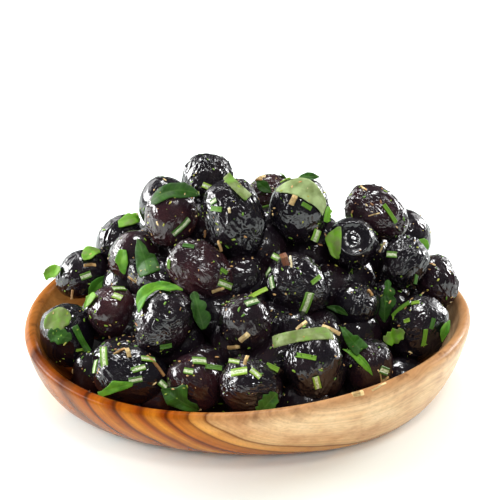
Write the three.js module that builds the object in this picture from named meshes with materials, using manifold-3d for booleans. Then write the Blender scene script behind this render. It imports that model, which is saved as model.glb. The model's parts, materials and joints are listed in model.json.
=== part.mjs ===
// A shallow carved olive-wood bowl heaped with wrinkled black olives, tossed with
// chopped parsley, cut rosemary needles and dried stalks. Millimetres, +Z up, origin at
// the middle of the bowl's flat foot, -Y towards the front.
import * as THREE from 'three';
import { mergeVertices } from 'three/addons/utils/BufferGeometryUtils.js';
import Module from 'manifold-3d';

const wasm = await Module();
wasm.setup();

// ---------------------------------------------------------------- driving dimensions

const RIM_RADIUS = 80;
const RIM_HEIGHT = 29;
const RIM_TILT = 2.3; // the rim's right side stands this much higher than its middle
const RIM_TWIST = -2; // and its left front dips by this much, its right front rises
const FOOT_RADIUS = 56;
const FOOT_OVAL = 0.145; // the carved foot is wider across than from front to back
const FOOT_TURN = THREE.MathUtils.degToRad(-10);
const FOOT_SHIFT = [-3, -4];
const LIP = 5; // thickness of the wall at its rounded lip
const FLOOR = 6;
const FLOOR_RADIUS = 48;
const BOWL_SIDES = 48;
const WALL_STEPS = 5;
const LIP_STEPS = 4;

const EYE = THREE.MathUtils.degToRad(25.5); // the heap is laid out as seen from here
const RIGHT = new THREE.Vector3(1, 0, 0);
const UP = new THREE.Vector3(0, Math.sin(EYE), Math.cos(EYE));
const TOWARD = new THREE.Vector3(0, -Math.cos(EYE), Math.sin(EYE));

const ABOVE = new THREE.Vector3(0, 0, 1);

const HEAP_TOP = 66; // height of the middles of the olives at the top of the heap
const HEAP_DROP = 41; // and how much lower they lie at the heap's edge
const HEAP_RADIUS = 72;
const HEAP_POWER = 1.7;
const FRONT_DROP = 11; // the steep front half lies lower than that by this much
const FRONT_REACH = 20; // from this far in front of the axis on
const CORE_DEPTH = 10; // the core's surface lies this far below the olives' middles
const CORE_RADIUS = 66;
const CORE_EDGE = 2; // least height of the core over the bowl's floor
const CORE_SIDES = 20;
const BOWL_GAP = 0.4;
const FACET_SWELL = 1.03; // lets a few flat facets stand for a round skin of true size

const BIT_THICKNESS = 1.4;
const BIT_SUNK = 0.7; // so that it is fused to the flat facets under it
const BIT_ROOM = 2.8; // least distance from a fused bit to a corner of a leaf's facets
const LEAF_THICKNESS = 0.6;
const LEAF_GAP = 0.8;
const LEAF_WAVE = 0.35;
const LEAF_CLIMB = 5; // a leaf is lifted over a neighbour by no more than this
const LEAF_LEAST = 0.25; // and is drawn in to no less than this share
const LEAF_SHIFTS = [0, 1.5, -1.5, 3, -3]; // tried across and up
const LEAF_SHIFT_COST = 0.3;

// The olives that show from the front: x, y, z of the middle, length, width, then how
// far the long axis turns to the right of upright and leans towards the eye, in degrees.
const FRONT_OLIVES = [
  [-14.5, 22, 70, 20.5, 19, 35, 30],
  [-30.5, 30, 57.5, 22, 19.5, 20, 10],
  [-27, 6, 62, 23, 19.5, 12, 0],
  [-4, -2, 64, 30.5, 22, -18, 5],
  [8, 27, 61.5, 18.5, 16.5, 80, 0],
  [18.5, 3, 65.5, 24, 21.5, -5, 10],
  [46.5, 15, 59.5, 25.5, 18.5, -62, 0],
  [59.5, 31, 44.5, 21, 18.5, -40, 0],
  [37, 1, 53.5, 22, 18.5, 0, 75],
  [56, 0, 46.5, 20, 17.5, 20, 30],
  [68.5, 6, 37, 20, 16.5, -25, 0],
  [-47, 30, 43, 21.5, 18, 40, 0],
  [-40.5, 8, 46, 21, 18, 60, 20],
  [-61, 20, 33.5, 21.5, 17.5, 48, 0],
  [-16, -16, 50.5, 26, 19, -55, 0],
  [17, -19, 46.5, 25, 20.5, -60, 10],
  [37.5, -15, 36.5, 18.5, 16.5, 30, 30],
  [-47, -14, 34, 19, 18, 0, 30],
  [-28, -34, 39.5, 25.5, 20, 25, 0],
  [-0.5, -35, 39.5, 21.5, 18.5, -20, 20],
  [-63.5, -13, 24.5, 24, 19, -12, 0],
  [59.5, -18, 29.5, 24.5, 20, 30, 10],
  [21.5, -49, 32.5, 26, 19.5, 5, 0],
  [-38.5, -46, 25.5, 26.5, 19.5, -78, 0],
  [-17, -50, 25.5, 21, 18.5, -30, 10],
  [1, -58, 28, 21.5, 18.5, -75, 0],
  [41, -37, 24.5, 20, 17.5, 10, 30],
  [64.5, 3, 27.5, 17, 15, 0, 0],
];
// Olives under those, which carry them and show only in the gaps, in the same terms.
const UNDER_OLIVES = [
  [-14, 15, 55, 21, 18, 40, 0],
  [7, 14, 52, 20, 18, -30, 20],
  [25, 12, 50, 21, 18, 70, 0],
  [43, 17, 43, 20, 18, 10, 40],
  [54, 18, 33, 21, 18, -60, 0],
  [-34, 22, 43, 20, 18, 30, 0],
  [-2, -13, 46, 20, 17.5, 80, 20],
  [-30, -8, 42, 20, 17, -40, 0],
];
// Olives added by rule, from the wall inwards: how many are tried for, least and most
// distance from the axis, least and most depth below the heap's outer layer, and the
// sides and rings of each.
const LAYERS = [
  [16, 58, 66, -1, 3, [8, 5]],
  [14, 38, 58, -1, 3, [8, 5]],
  [8, 14, 38, -1, 3, [8, 5]],
  [22, 0, 62, 6, 14, [7, 4]],
];
const FRONT_FACETS = [10, 6];
const UNDER_FACETS = [8, 4];
const SEAT = 17; // least height of an olive's middle, on the bowl's floor
const LEAST_LENGTH = 19;
const SPARE_LENGTH = 6;
const LEAST_WIDTH = 16.5;
const SPARE_WIDTH = 3;
const MOST_LEAN = 30;
const SQUASH = 2.2; // neighbours may press this far into each other
const TRIES = 300;
const OPEN_FRONT = -32; // in front of this, none lie under those laid by hand

// Parsley: olive it lies on, place across and up from that olive's middle as seen from
// the front, length, width, turn to the right of upright, radius of its natural curl.
const LEAVES = [
  [13, -10.5, 1, 7, 5, 70, 30],
  [2, -13.5, 0.5, 8.5, 5, 78, 20],
  [2, 1.5, 7.5, 17, 6, 80, 10],
  [4, -2, 3, 7, 4.5, -50, 16],
  [5, 1.5, 7, 19, 8, 112, 11],
  [5, 3, 12, 8, 3.5, 80, 12],
  [5, 11, -2, 5.5, 3.5, 10, 12],
  [8, -7, 0, 11, 5.5, 5, 12],
  [9, 8.5, 7, 6, 5, 30, 14],
  [12, 6, -2.5, 13.5, 8, -20, 14],
  [12, -4, -2.5, 8.5, 5, 10, 12],
  [18, -2, 10.5, 16, 6, 72, 9],
  [13, 6, -4.5, 10, 4.5, 40, 12],
  [18, 13.5, 5, 13, 7, -15, 18],
  [20, -2.5, 5, 10, 8, 60, 11],
  [26, -6.5, 10.5, 11, 5.5, -40, 20],
  [26, -6.5, 2, 13, 3.6, -48, 12],
  [21, -13, 8.6, 10.5, 5.5, 0, 16],
  [21, -9, -3, 7.5, 5.5, 60, 12],
  [24, -5, -6, 14, 8, -60, 16],
  [23, -4.5, -3.8, 12, 4.5, 75, 14],
  [25, 5.5, -5.5, 8.5, 6, 40, 12],
  [21, 8.5, -1, 8, 3.5, 20, 12],
];
// Flat strips cut from parsley stalks and large leaves, in the same terms.
const STRIPS = [
  [3, 0.5, 10.5, 11, 3.2, -44, 14],
  [20, 6, -1.5, 10.5, 2.2, -28, 14],
  [22, -3.5, 8, 19.5, 4, 82, 12],
];
// Parsley on the sides and back of the heap: degrees round from the right, distance
// out from the middle, length, width, turn.
const FAR_LEAVES = [
  [40, 40, 12, 7, 20],
  [72, 58, 11, 6, 70],
  [92, 34, 13, 6.5, 120],
  [118, 52, 12, 7, 40],
  [146, 36, 11, 6, 100],
  [163, 60, 10, 6, 10],
];
const FAR_CURL = 13;

// Cut rosemary needles: olive, place across and up, length, width, turn.
const ROSEMARY = [
  [2, 4, -4.3, 8, 2.2, 45],
  [0, 1.5, -4, 6.5, 2, 115],
  [3, -6.5, 2.8, 4.5, 1.8, 100],
  [5, 4.5, -9, 4.2, 3.8, 20],
  [19, 3.5, 8.8, 9, 1.7, 60],
  [19, 2, 6.8, 5, 2.6, 72],
  [6, 4.3, -0.7, 8, 1.5, -35],
  [21, -6.5, 6.5, 8, 1.6, 50],
  [21, 1, -3.3, 6, 1.7, 8],
  [23, -8, 6, 7.2, 2.8, -5],
  [23, -11.5, 3, 4.5, 2.4, 10],
  [23, 3, 2.4, 4.6, 2, 75],
  [23, 6, 5.4, 5, 2.2, 100],
  [23, 2, -1.2, 4.5, 2, 80],
  [24, 1.4, 6.6, 4.6, 3, 95],
  [24, 5.5, 4.2, 6.5, 1.8, 97],
  [25, -3.6, 4.6, 5.5, 2.6, 80],
  [25, 7, 5.5, 4.4, 1.8, 115],
  [17, 2.5, 7.8, 4.5, 2.8, 90],
  [14, 8.5, -5, 6, 2.4, 110],
  [15, 6.2, 1.4, 4.5, 1.6, 50],
  [15, 3, -6.5, 8, 3.2, 20],
  [15, -8.5, 0.5, 4.4, 2.2, -10],
  [22, 1, -7, 4.6, 2.2, -15],
  [22, -2.5, 1.4, 7, 1.6, 100],
];
// Dried stalks and flakes, in the same terms.
const STALKS = [
  [5, -2.5, 2.8, 4.4, 2.2, 25],
  [13, 3.5, 3, 4.5, 1.3, 85],
  [15, -4.5, 8, 4.6, 2.6, -20],
  [14, 6, -6.6, 4.4, 1.3, 70],
  [23, 8.5, 3.5, 9, 1.3, -40],
  [22, 6, 10, 6.4, 1.6, -65],
  [22, -3.5, 11.2, 4.4, 1.6, 50],
];
// Rosemary and stalks strewn over the sides and back: how many, and the least and most
// distance out from the middle, length and width.
const FAR_BITS = 14;
const FAR_REACH = [12, 68];
const FAR_LENGTH = [3.5, 7.5];
const FAR_WIDTH = [1.5, 2.5];
const FAR_MARGIN = 0.05; // share of the half turn left bare at either side

// ---------------------------------------------------------------- small tools

// The same run of numbers from 0 to 1 each time.
function draws(seed) {
  let state = seed;
  return () => {
    state = (state * 16807) % 2147483647;
    return state / 2147483647;
  };
}

function solidOf(geometry) {
  const plain = geometry.index ? geometry.toNonIndexed() : geometry.clone();
  plain.deleteAttribute('normal');
  plain.deleteAttribute('uv');
  const merged = mergeVertices(plain, 1e-3);
  const corners = merged.index.array;
  const kept = [];
  for (let i = 0; i < corners.length; i += 3) {
    const [a, b, c] = [corners[i], corners[i + 1], corners[i + 2]];
    if (a !== b && b !== c && c !== a) kept.push(a, b, c);
  }
  return new wasm.Manifold(
    new wasm.Mesh({
      numProp: 3,
      vertProperties: merged.attributes.position.array,
      triVerts: new Uint32Array(kept),
    }),
  );
}

function geometryOf(solid) {
  const mesh = solid.getMesh();
  const geometry = new THREE.BufferGeometry();
  geometry.setAttribute('position', new THREE.BufferAttribute(mesh.vertProperties, 3));
  geometry.setIndex(new THREE.BufferAttribute(mesh.triVerts, 1));
  geometry.computeVertexNormals();
  return geometry;
}

function union(solids) {
  return solids.reduce((whole, solid) => whole.add(solid));
}

// ---------------------------------------------------------------- the bowl

// How far out a wall has come at a share of its height, from its foot to its lip.
function wallReach(share, fullness, roundness) {
  return (1 - (1 - share) ** fullness) ** (1 / roundness);
}

// Half the bowl's section as [radius, height, share of the foot's shift], from the axis
// under the foot, up the outside, over the lip and back to the axis on the floor.
function bowlSection(gap) {
  const lipRadius = LIP / 2 + gap;
  const lipMiddle = [RIM_RADIUS - LIP / 2, RIM_HEIGHT - LIP / 2];
  const outer = [];
  for (let i = 0; i <= WALL_STEPS; i += 1) {
    const share = 1 - Math.cos(((i / WALL_STEPS) * Math.PI) / 2);
    const reach = wallReach(share, 1.24, 1.6);
    const radius = FOOT_RADIUS + (RIM_RADIUS - FOOT_RADIUS) * reach;
    outer.push([radius + gap, share * lipMiddle[1] - gap * (1 - share), 1 - reach]);
  }
  const lip = [];
  for (let i = 1; i < LIP_STEPS; i += 1) {
    const angle = (i / LIP_STEPS) * Math.PI;
    const radius = lipMiddle[0] + lipRadius * Math.cos(angle);
    lip.push([radius, lipMiddle[1] + lipRadius * Math.sin(angle), 0]);
  }
  const inner = [];
  const innerRim = RIM_RADIUS - LIP;
  for (let i = WALL_STEPS; i >= 0; i -= 1) {
    const share = 1 - Math.cos(((i / WALL_STEPS) * Math.PI) / 2);
    const reach = wallReach(share, 1.3, 1.5);
    const radius = FLOOR_RADIUS + (innerRim - FLOOR_RADIUS) * reach;
    const height = FLOOR + share * (lipMiddle[1] - FLOOR);
    inner.push([radius - gap * reach, height + gap * (1 - share), 1 - reach]);
  }
  return [[0, -gap, 1], ...outer, ...lip, ...inner, [0, FLOOR + gap, 1]];
}

// Height of the uneven rim round the bowl, as a share of its mean height.
function rimRise(angle) {
  return 1 + (RIM_TILT * Math.cos(angle) + RIM_TWIST * Math.sin(2 * angle)) / RIM_HEIGHT;
}

function bowlGeometry(gap) {
  const section = bowlSection(gap);
  const profile = section.map(([radius, height]) => new THREE.Vector2(radius, height));
  const geometry = new THREE.LatheGeometry(profile, BOWL_SIDES).rotateX(Math.PI / 2);
  const places = geometry.attributes.position;
  for (let i = 0; i < places.count; i += 1) {
    const shift = section[i % section.length][2];
    const angle = Math.atan2(places.getY(i), places.getX(i));
    const oval = 1 + FOOT_OVAL * shift * Math.cos(2 * (angle - FOOT_TURN));
    places.setXYZ(
      i,
      places.getX(i) * oval + FOOT_SHIFT[0] * shift,
      places.getY(i) * oval + FOOT_SHIFT[1] * shift,
      places.getZ(i) * (section[i % section.length][0] > 0 ? rimRise(angle) : 1),
    );
  }
  return geometry;
}

// ---------------------------------------------------------------- the olives

function oliveFrom([x, y, z, length, width, turn, lean], facets) {
  const turned = THREE.MathUtils.degToRad(turn);
  const leant = THREE.MathUtils.degToRad(lean);
  const axis = new THREE.Vector3()
    .addScaledVector(RIGHT, Math.sin(turned) * Math.cos(leant))
    .addScaledVector(UP, Math.cos(turned) * Math.cos(leant))
    .addScaledVector(TOWARD, Math.sin(leant));
  return { middle: new THREE.Vector3(x, y, z), axis, length, width, facets };
}

// Height of an olive's middle in the outer layer of the heap.
function heapHeight(x, y) {
  const crown = HEAP_TOP - HEAP_DROP * (Math.hypot(x, y) / HEAP_RADIUS) ** HEAP_POWER;
  return crown - FRONT_DROP * THREE.MathUtils.clamp(-y / FRONT_REACH, 0, 1);
}

function meanRadius(olive) {
  return (olive.length + 2 * olive.width) / 6;
}

function seen(point) {
  return [point.dot(RIGHT), point.dot(UP), point.dot(TOWARD)];
}

// Whether an olive stays out of sight behind those laid by hand.
function isBehind(olive, shown) {
  const [across, up, toward] = seen(olive.middle);
  const size = meanRadius(olive);
  let skyline = -Infinity;
  for (const other of shown) {
    const [otherAcross, otherUp, otherToward] = seen(other.middle);
    const reach = meanRadius(other);
    const aside = Math.abs(across - otherAcross);
    const apart = Math.hypot(across - otherAcross, up - otherUp);
    if (apart < 0.85 * (size + reach) && toward > otherToward - 0.4 * reach) return false;
    if (aside < reach) skyline = Math.max(skyline, otherUp + Math.sqrt(reach ** 2 - aside ** 2));
  }
  return up + size < skyline - 1;
}

// Adds olives one by one, each where it lies closest to its neighbours.
function addLayer(olives, draw, [count, innermost, outermost, least, most, facets]) {
  const shown = olives.slice(0, FRONT_OLIVES.length);
  for (let i = 0; i < count; i += 1) {
    let best = null;
    let bestGap = Infinity;
    for (let attempt = 0; attempt < TRIES; attempt += 1) {
      const angle = draw() * 2 * Math.PI;
      const radius = innermost + (outermost - innermost) * Math.sqrt(draw());
      const [x, y] = [radius * Math.cos(angle), radius * Math.sin(angle)];
      const height = heapHeight(x, y) - least - (most - least) * draw();
      const length = LEAST_LENGTH + SPARE_LENGTH * draw();
      const width = LEAST_WIDTH + SPARE_WIDTH * draw();
      const [turn, lean] = [360 * draw(), MOST_LEAN * (2 * draw() - 1)];
      if (height < SEAT) continue;
      const candidate = oliveFrom([x, y, height, length, width, turn, lean], facets);
      let gap = Infinity;
      for (const other of olives) {
        const apart = candidate.middle.distanceTo(other.middle);
        gap = Math.min(gap, apart - meanRadius(candidate) - meanRadius(other));
      }
      if (gap < -SQUASH || gap >= bestGap || !isBehind(candidate, shown)) continue;
      best = candidate;
      bestGap = gap;
    }
    if (best && best.middle.y > OPEN_FRONT) olives.push(best);
  }
}

function layOlives() {
  const olives = FRONT_OLIVES.map((olive) => oliveFrom(olive, FRONT_FACETS));
  olives.push(...UNDER_OLIVES.map((olive) => oliveFrom(olive, UNDER_FACETS)));
  const draw = draws(41);
  for (const layer of LAYERS) addLayer(olives, draw, layer);
  return olives;
}

// Dot product measured in the half width and half length of an olive grown by a gap.
function within(olive, gap, one, other) {
  const across = 1 / (olive.width / 2 + gap) ** 2;
  const along = 1 / (olive.length / 2 + gap) ** 2 - across;
  return one.dot(other) * across + one.dot(olive.axis) * other.dot(olive.axis) * along;
}

// Distance along a line from a start to where it last leaves an olive grown by a gap,
// or null where it misses.
function leaving(olive, start, direction, gap = 0) {
  const from = start.clone().sub(olive.middle);
  const a = within(olive, gap, direction, direction);
  const b = within(olive, gap, from, direction);
  const c = within(olive, gap, from, from) - 1;
  const inside = b * b - a * c;
  return inside > 0 ? (-b + Math.sqrt(inside)) / a : null;
}

// The skin seen from the front at a place across and up from an olive's middle, on
// whichever olive lies nearest the eye there. A place between olives is drawn in.
function skinFromFront(olives, index, across, up) {
  let best = null;
  for (let share = 1; best === null; share -= 0.04) {
    const start = olives[index].middle.clone();
    start.addScaledVector(RIGHT, across * share).addScaledVector(UP, up * share);
    let nearest = -Infinity;
    for (const olive of olives) {
      const distance = leaving(olive, start, TOWARD);
      if (distance === null || distance < nearest) continue;
      const point = start.clone().addScaledVector(TOWARD, distance);
      best = { point, outward: skinDirection(olive, point) };
      nearest = distance;
    }
  }
  return best;
}

function skinDirection(olive, point) {
  const from = point.clone().sub(olive.middle);
  const along = from.dot(olive.axis);
  const outward = from.addScaledVector(olive.axis, -along).multiplyScalar(4 / olive.width ** 2);
  return outward.addScaledVector(olive.axis, (along * 4) / olive.length ** 2).normalize();
}

// The skin seen from straight above, at a direction round and a distance out from the
// heap's axis, on whichever olive is highest. A place between olives is drawn in.
function skinFromAbove(olives, angle, distance) {
  let best = null;
  for (let radius = distance; best === null; radius -= 1) {
    const start = new THREE.Vector3(radius * Math.cos(angle), radius * Math.sin(angle), 0);
    for (const olive of olives) {
      const height = leaving(olive, start, ABOVE);
      if (height === null || (best && best.point.z > height)) continue;
      const point = start.clone().setZ(height);
      best = { point, outward: skinDirection(olive, point) };
    }
  }
  return best;
}

function oliveSolid(olive) {
  const geometry = new THREE.SphereGeometry(1, ...olive.facets);
  geometry.scale(olive.width / 2, olive.length / 2, olive.width / 2);
  geometry.scale(FACET_SWELL, FACET_SWELL, FACET_SWELL);
  const turned = new THREE.Quaternion().setFromUnitVectors(
    new THREE.Vector3(0, 1, 0),
    olive.axis,
  );
  geometry.applyQuaternion(turned).translate(...olive.middle.toArray());
  return solidOf(geometry);
}

// The hidden middle of the heap, a dome that the olives sink into.
function coreSolid() {
  const profile = [new THREE.Vector2(0, FLOOR), new THREE.Vector2(FLOOR_RADIUS, FLOOR)];
  const steps = 6;
  for (let i = 0; i <= steps; i += 1) {
    const radius = CORE_RADIUS * (1 - i / steps);
    profile.push(new THREE.Vector2(radius, heapHeight(radius, 0) - CORE_DEPTH));
  }
  const geometry = new THREE.LatheGeometry(profile, CORE_SIDES).rotateX(Math.PI / 2);
  const places = geometry.attributes.position;
  for (let i = 0; i < places.count; i += 1) {
    if (places.getZ(i) <= FLOOR) continue;
    const height = heapHeight(places.getX(i), places.getY(i)) - CORE_DEPTH;
    places.setZ(i, Math.max(FLOOR + CORE_EDGE, height));
  }
  return solidOf(geometry);
}

// ---------------------------------------------------------------- rosemary and stalks

// Directions on the skin: sideways, along the turn given, and outward.
function skinFrame(outward, turn) {
  const turned = THREE.MathUtils.degToRad(turn);
  const along = new THREE.Vector3()
    .addScaledVector(RIGHT, Math.sin(turned))
    .addScaledVector(UP, Math.cos(turned));
  along.addScaledVector(outward, -along.dot(outward)).normalize();
  const sideways = new THREE.Vector3().crossVectors(along, outward);
  return new THREE.Matrix4().makeBasis(sideways, along, outward);
}

function bitSolid({ point, outward }, length, width, turn) {
  const geometry = new THREE.BoxGeometry(width, length, BIT_THICKNESS);
  geometry.translate(0, 0, BIT_THICKNESS / 2 - BIT_SUNK);
  geometry.applyMatrix4(skinFrame(outward, turn)).translate(...point.toArray());
  return solidOf(geometry);
}

function isClear(point, length, turn, outward, leafPoints) {
  const along = new THREE.Vector3().setFromMatrixColumn(skinFrame(outward, turn), 1);
  for (const share of [-0.5, 0, 0.5]) {
    const place = point.clone().addScaledVector(along, length * share);
    if (leafPoints.some((other) => other.distanceTo(place) < BIT_ROOM)) return false;
  }
  return true;
}

function bitSolids(olives, leafPoints) {
  const solids = [];
  const place = (skin, length, width, turn) => {
    if (!isClear(skin.point, length, turn, skin.outward, leafPoints)) return;
    solids.push(bitSolid(skin, length, width, turn));
  };
  for (const [index, across, up, length, width, turn] of [...ROSEMARY, ...STALKS])
    place(skinFromFront(olives, index, across, up), length, width, turn);
  const draw = draws(29);
  const between = ([least, most]) => least + (most - least) * draw();
  for (let i = 0; i < FAR_BITS; i += 1) {
    const angle = Math.PI * between([FAR_MARGIN, 1 - FAR_MARGIN]);
    const skin = skinFromAbove(olives, angle, between(FAR_REACH));
    place(skin, between(FAR_LENGTH), between(FAR_WIDTH), 180 * draw());
  }
  return solids;
}

// ---------------------------------------------------------------- parsley

function leafHalfWidth(share, width) {
  const swell = 0.35 + 0.65 * Math.sin(Math.PI * Math.min(1, 0.1 + share));
  return (width / 2) * swell * (1 + 0.16 * Math.sin(6 * Math.PI * share));
}

function stripHalfWidth(share, width) {
  return (width / 2) * (1 + 0.05 * Math.sin(5 * share));
}

// A point of a leaf's sheet, at s along it and t to its side. The sheet bends by its own
// curl, is lifted over what it lies on, and draws in where an olive stands in its way.
function leafPoint(olives, skin, frame, s, t, curl) {
  const side = new THREE.Vector3().setFromMatrixColumn(frame, 0);
  const along = new THREE.Vector3().setFromMatrixColumn(frame, 1);
  const wave = LEAF_WAVE * Math.sin(s * 0.9 + t * 0.7);
  for (let pull = 1; ; pull -= 0.1) {
    const flat = skin.point.clone().addScaledVector(along, s * pull);
    flat.addScaledVector(side, t * pull);
    let height = LEAF_GAP + wave - (pull * pull * (s * s + t * t)) / (2 * curl);
    for (const olive of olives) {
      const top = leaving(olive, flat, skin.outward, LEAF_GAP);
      if (top !== null) height = Math.max(height, top);
    }
    const cost = 1 - pull + Math.max(0, height - LEAF_CLIMB);
    if (height < LEAF_CLIMB || pull < LEAF_LEAST)
      return { point: flat.addScaledVector(skin.outward, height), cost };
  }
}

function leafRows(olives, skin, [length, width, turn, curl], halfWidth, columns, rows) {
  const frame = skinFrame(skin.outward, turn);
  const sheet = [];
  let cost = 0;
  for (let i = 0; i <= rows; i += 1) {
    const row = [];
    for (let j = 0; j <= columns; j += 1) {
      const s = (i / rows - 0.5) * length;
      const t = (2 * (j / columns) - 1) * halfWidth(i / rows, width);
      const made = leafPoint(olives, skin, frame, s, t, curl);
      row.push(made.point);
      cost += made.cost;
    }
    sheet.push(row);
  }
  return { sheet, cost, outward: skin.outward };
}

// A leaf as it lies best, shifted so that it is drawn in the least.
function bestLeaf(olives, point, open, leaf, halfWidth, columns, rows) {
  let best = null;
  for (const across of LEAF_SHIFTS)
    for (const up of LEAF_SHIFTS) {
      const shifted = point.clone().addScaledVector(RIGHT, across).addScaledVector(UP, up);
      const skin = { point: shifted, outward: open };
      const made = leafRows(olives, skin, leaf, halfWidth, columns, rows);
      made.cost += LEAF_SHIFT_COST * Math.hypot(across, up);
      if (best === null || made.cost < best.cost) best = made;
    }
  return best;
}

// A thin closed sheet, with both faces split alike.
function sheetGeometry(sheet, outward) {
  const rows = sheet.length;
  const columns = sheet[0].length;
  const places = [];
  for (const side of [0, LEAF_THICKNESS])
    for (const row of sheet)
      for (const point of row)
        places.push(...point.clone().addScaledVector(outward, side).toArray());
  const faces = [];
  const at = (side, i, j) => side * rows * columns + i * columns + j;
  const quad = (a, b, c, d) => faces.push(a, b, c, a, c, d);
  for (let i = 0; i + 1 < rows; i += 1)
    for (let j = 0; j + 1 < columns; j += 1) {
      quad(at(1, i, j), at(1, i, j + 1), at(1, i + 1, j + 1), at(1, i + 1, j));
      faces.push(at(0, i, j), at(0, i + 1, j + 1), at(0, i, j + 1));
      faces.push(at(0, i, j), at(0, i + 1, j), at(0, i + 1, j + 1));
    }
  const edge = [];
  for (let j = 0; j + 1 < columns; j += 1) edge.push([0, j]);
  for (let i = 0; i + 1 < rows; i += 1) edge.push([i, columns - 1]);
  for (let j = columns - 1; j > 0; j -= 1) edge.push([rows - 1, j]);
  for (let i = rows - 1; i > 0; i -= 1) edge.push([i, 0]);
  edge.forEach(([i, j], n) => {
    const [k, l] = edge[(n + 1) % edge.length];
    quad(at(0, i, j), at(0, k, l), at(1, k, l), at(1, i, j));
  });
  const geometry = new THREE.BufferGeometry();
  geometry.setAttribute('position', new THREE.Float32BufferAttribute(places, 3));
  geometry.setIndex(faces);
  geometry.computeVertexNormals();
  return geometry;
}

// ---------------------------------------------------------------- materials

function finish(color, roughness) {
  return new THREE.MeshStandardMaterial({ color, roughness, metalness: 0 });
}

const OLIVE_WOOD = finish('#c98a4b', 0.45);
const OLIVE_SKIN = finish('#1d1418', 0.25);
const PARSLEY = finish('#4f8a2a', 0.55);
const STALK = finish('#7fa257', 0.55);

// ---------------------------------------------------------------- putting it together

const group = new THREE.Group();

function addPiece(name, geometry, material) {
  const mesh = new THREE.Mesh(geometry, material);
  mesh.name = name;
  group.add(mesh);
}

const olives = layOlives();
const leafPoints = [];

function addLeaf(name, skin, open, leaf, halfWidth, columns, rows, material) {
  const made = bestLeaf(olives, skin.point, open, leaf, halfWidth, columns, rows);
  leafPoints.push(...made.sheet.flat());
  addPiece(name, sheetGeometry(made.sheet, made.outward), material);
}

LEAVES.forEach(([index, across, up, ...leaf], i) => {
  const skin = skinFromFront(olives, index, across, up);
  const [columns, rows] = leaf[0] > 10 ? [3, 6] : [2, 4];
  addLeaf(`parsley_leaf_${i + 1}`, skin, TOWARD, leaf, leafHalfWidth, columns, rows, PARSLEY);
});
STRIPS.forEach(([index, across, up, ...leaf], i) => {
  const skin = skinFromFront(olives, index, across, up);
  addLeaf(`parsley_strip_${i + 1}`, skin, TOWARD, leaf, stripHalfWidth, 1, 8, STALK);
});
FAR_LEAVES.forEach(([degrees, radius, length, width, turn], i) => {
  const skin = skinFromAbove(olives, THREE.MathUtils.degToRad(degrees), radius);
  const leaf = [length, width, turn, FAR_CURL];
  addLeaf(`parsley_far_${i + 1}`, skin, ABOVE, leaf, leafHalfWidth, 2, 4, PARSLEY);
});

const oliveSolids = olives.map(oliveSolid);
const heap = union([coreSolid(), ...oliveSolids, ...bitSolids(olives, leafPoints)]);
const pieces = heap.subtract(solidOf(bowlGeometry(BOWL_GAP))).decompose();
const heapClear = pieces.reduce((best, piece) => (piece.volume() > best.volume() ? piece : best));

addPiece('bowl', geometryOf(solidOf(bowlGeometry(0))), OLIVE_WOOD);
addPiece('olives', geometryOf(heapClear), OLIVE_SKIN);

export default group;
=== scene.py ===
# A shallow carved olive-wood bowl heaped with wrinkled black olives, tossed with chopped
# parsley, cut rosemary needles and dried stalks. Metres, +Z up, -Y towards the front.
import json
import math

import bpy
from mathutils import Matrix, Vector, noise
from mathutils.bvhtree import BVHTree

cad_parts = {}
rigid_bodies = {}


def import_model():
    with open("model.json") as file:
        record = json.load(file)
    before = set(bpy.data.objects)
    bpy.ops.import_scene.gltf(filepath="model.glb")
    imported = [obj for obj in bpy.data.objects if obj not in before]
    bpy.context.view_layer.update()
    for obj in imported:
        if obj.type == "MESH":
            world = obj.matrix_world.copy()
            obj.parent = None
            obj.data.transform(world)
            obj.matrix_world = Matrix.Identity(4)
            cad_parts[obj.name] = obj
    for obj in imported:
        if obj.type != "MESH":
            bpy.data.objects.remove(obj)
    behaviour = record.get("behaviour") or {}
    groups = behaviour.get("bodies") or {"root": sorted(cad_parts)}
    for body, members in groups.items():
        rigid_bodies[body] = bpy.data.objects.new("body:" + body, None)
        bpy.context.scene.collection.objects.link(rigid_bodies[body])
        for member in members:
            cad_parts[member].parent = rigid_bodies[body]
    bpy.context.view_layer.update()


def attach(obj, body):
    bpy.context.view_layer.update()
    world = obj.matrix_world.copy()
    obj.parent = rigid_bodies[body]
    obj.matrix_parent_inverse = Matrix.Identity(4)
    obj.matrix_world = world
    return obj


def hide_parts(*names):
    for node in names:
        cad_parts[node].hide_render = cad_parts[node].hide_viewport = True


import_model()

# ---------------------------------------------------------------- camera
# The food is seen from a little above the table, through a long lens that shows the bowl
# from edge to edge with a margin of bare table around it.
CAMERA_PLACE = Vector((0, -0.4964, 0.2568))
CAMERA_TARGET = Vector((0.001, 0, 0.0515))
FOCAL_PIXELS = 1519
IMAGE_PIXELS = 500
SENSOR_MM = 36

bpy.ops.object.camera_add(location=CAMERA_PLACE)
camera = bpy.context.object
camera.name = "camera"
camera.rotation_euler = (CAMERA_TARGET - CAMERA_PLACE).to_track_quat("-Z", "Y").to_euler()
camera.data.sensor_width = SENSOR_MM
camera.data.lens = SENSOR_MM * FOCAL_PIXELS / IMAGE_PIXELS
bpy.context.scene.camera = camera

# ---------------------------------------------------------------- table top and studio light
# A plain matt white table under soft lamps: low ones on the left and behind on the right,
# with broad dim windows behind both, small ones over the food and in front, and broad
# reflectors that fill the shadows without a highlight. The world is a dim grey room.
FLOOR_SIZE = 8
FLOOR_DROP = 0.0001
FLOOR_COLOUR = "#f1f8f4"
ROOM_COLOUR = "#ffffff"
ROOM_STRENGTH = 0.1
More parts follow.
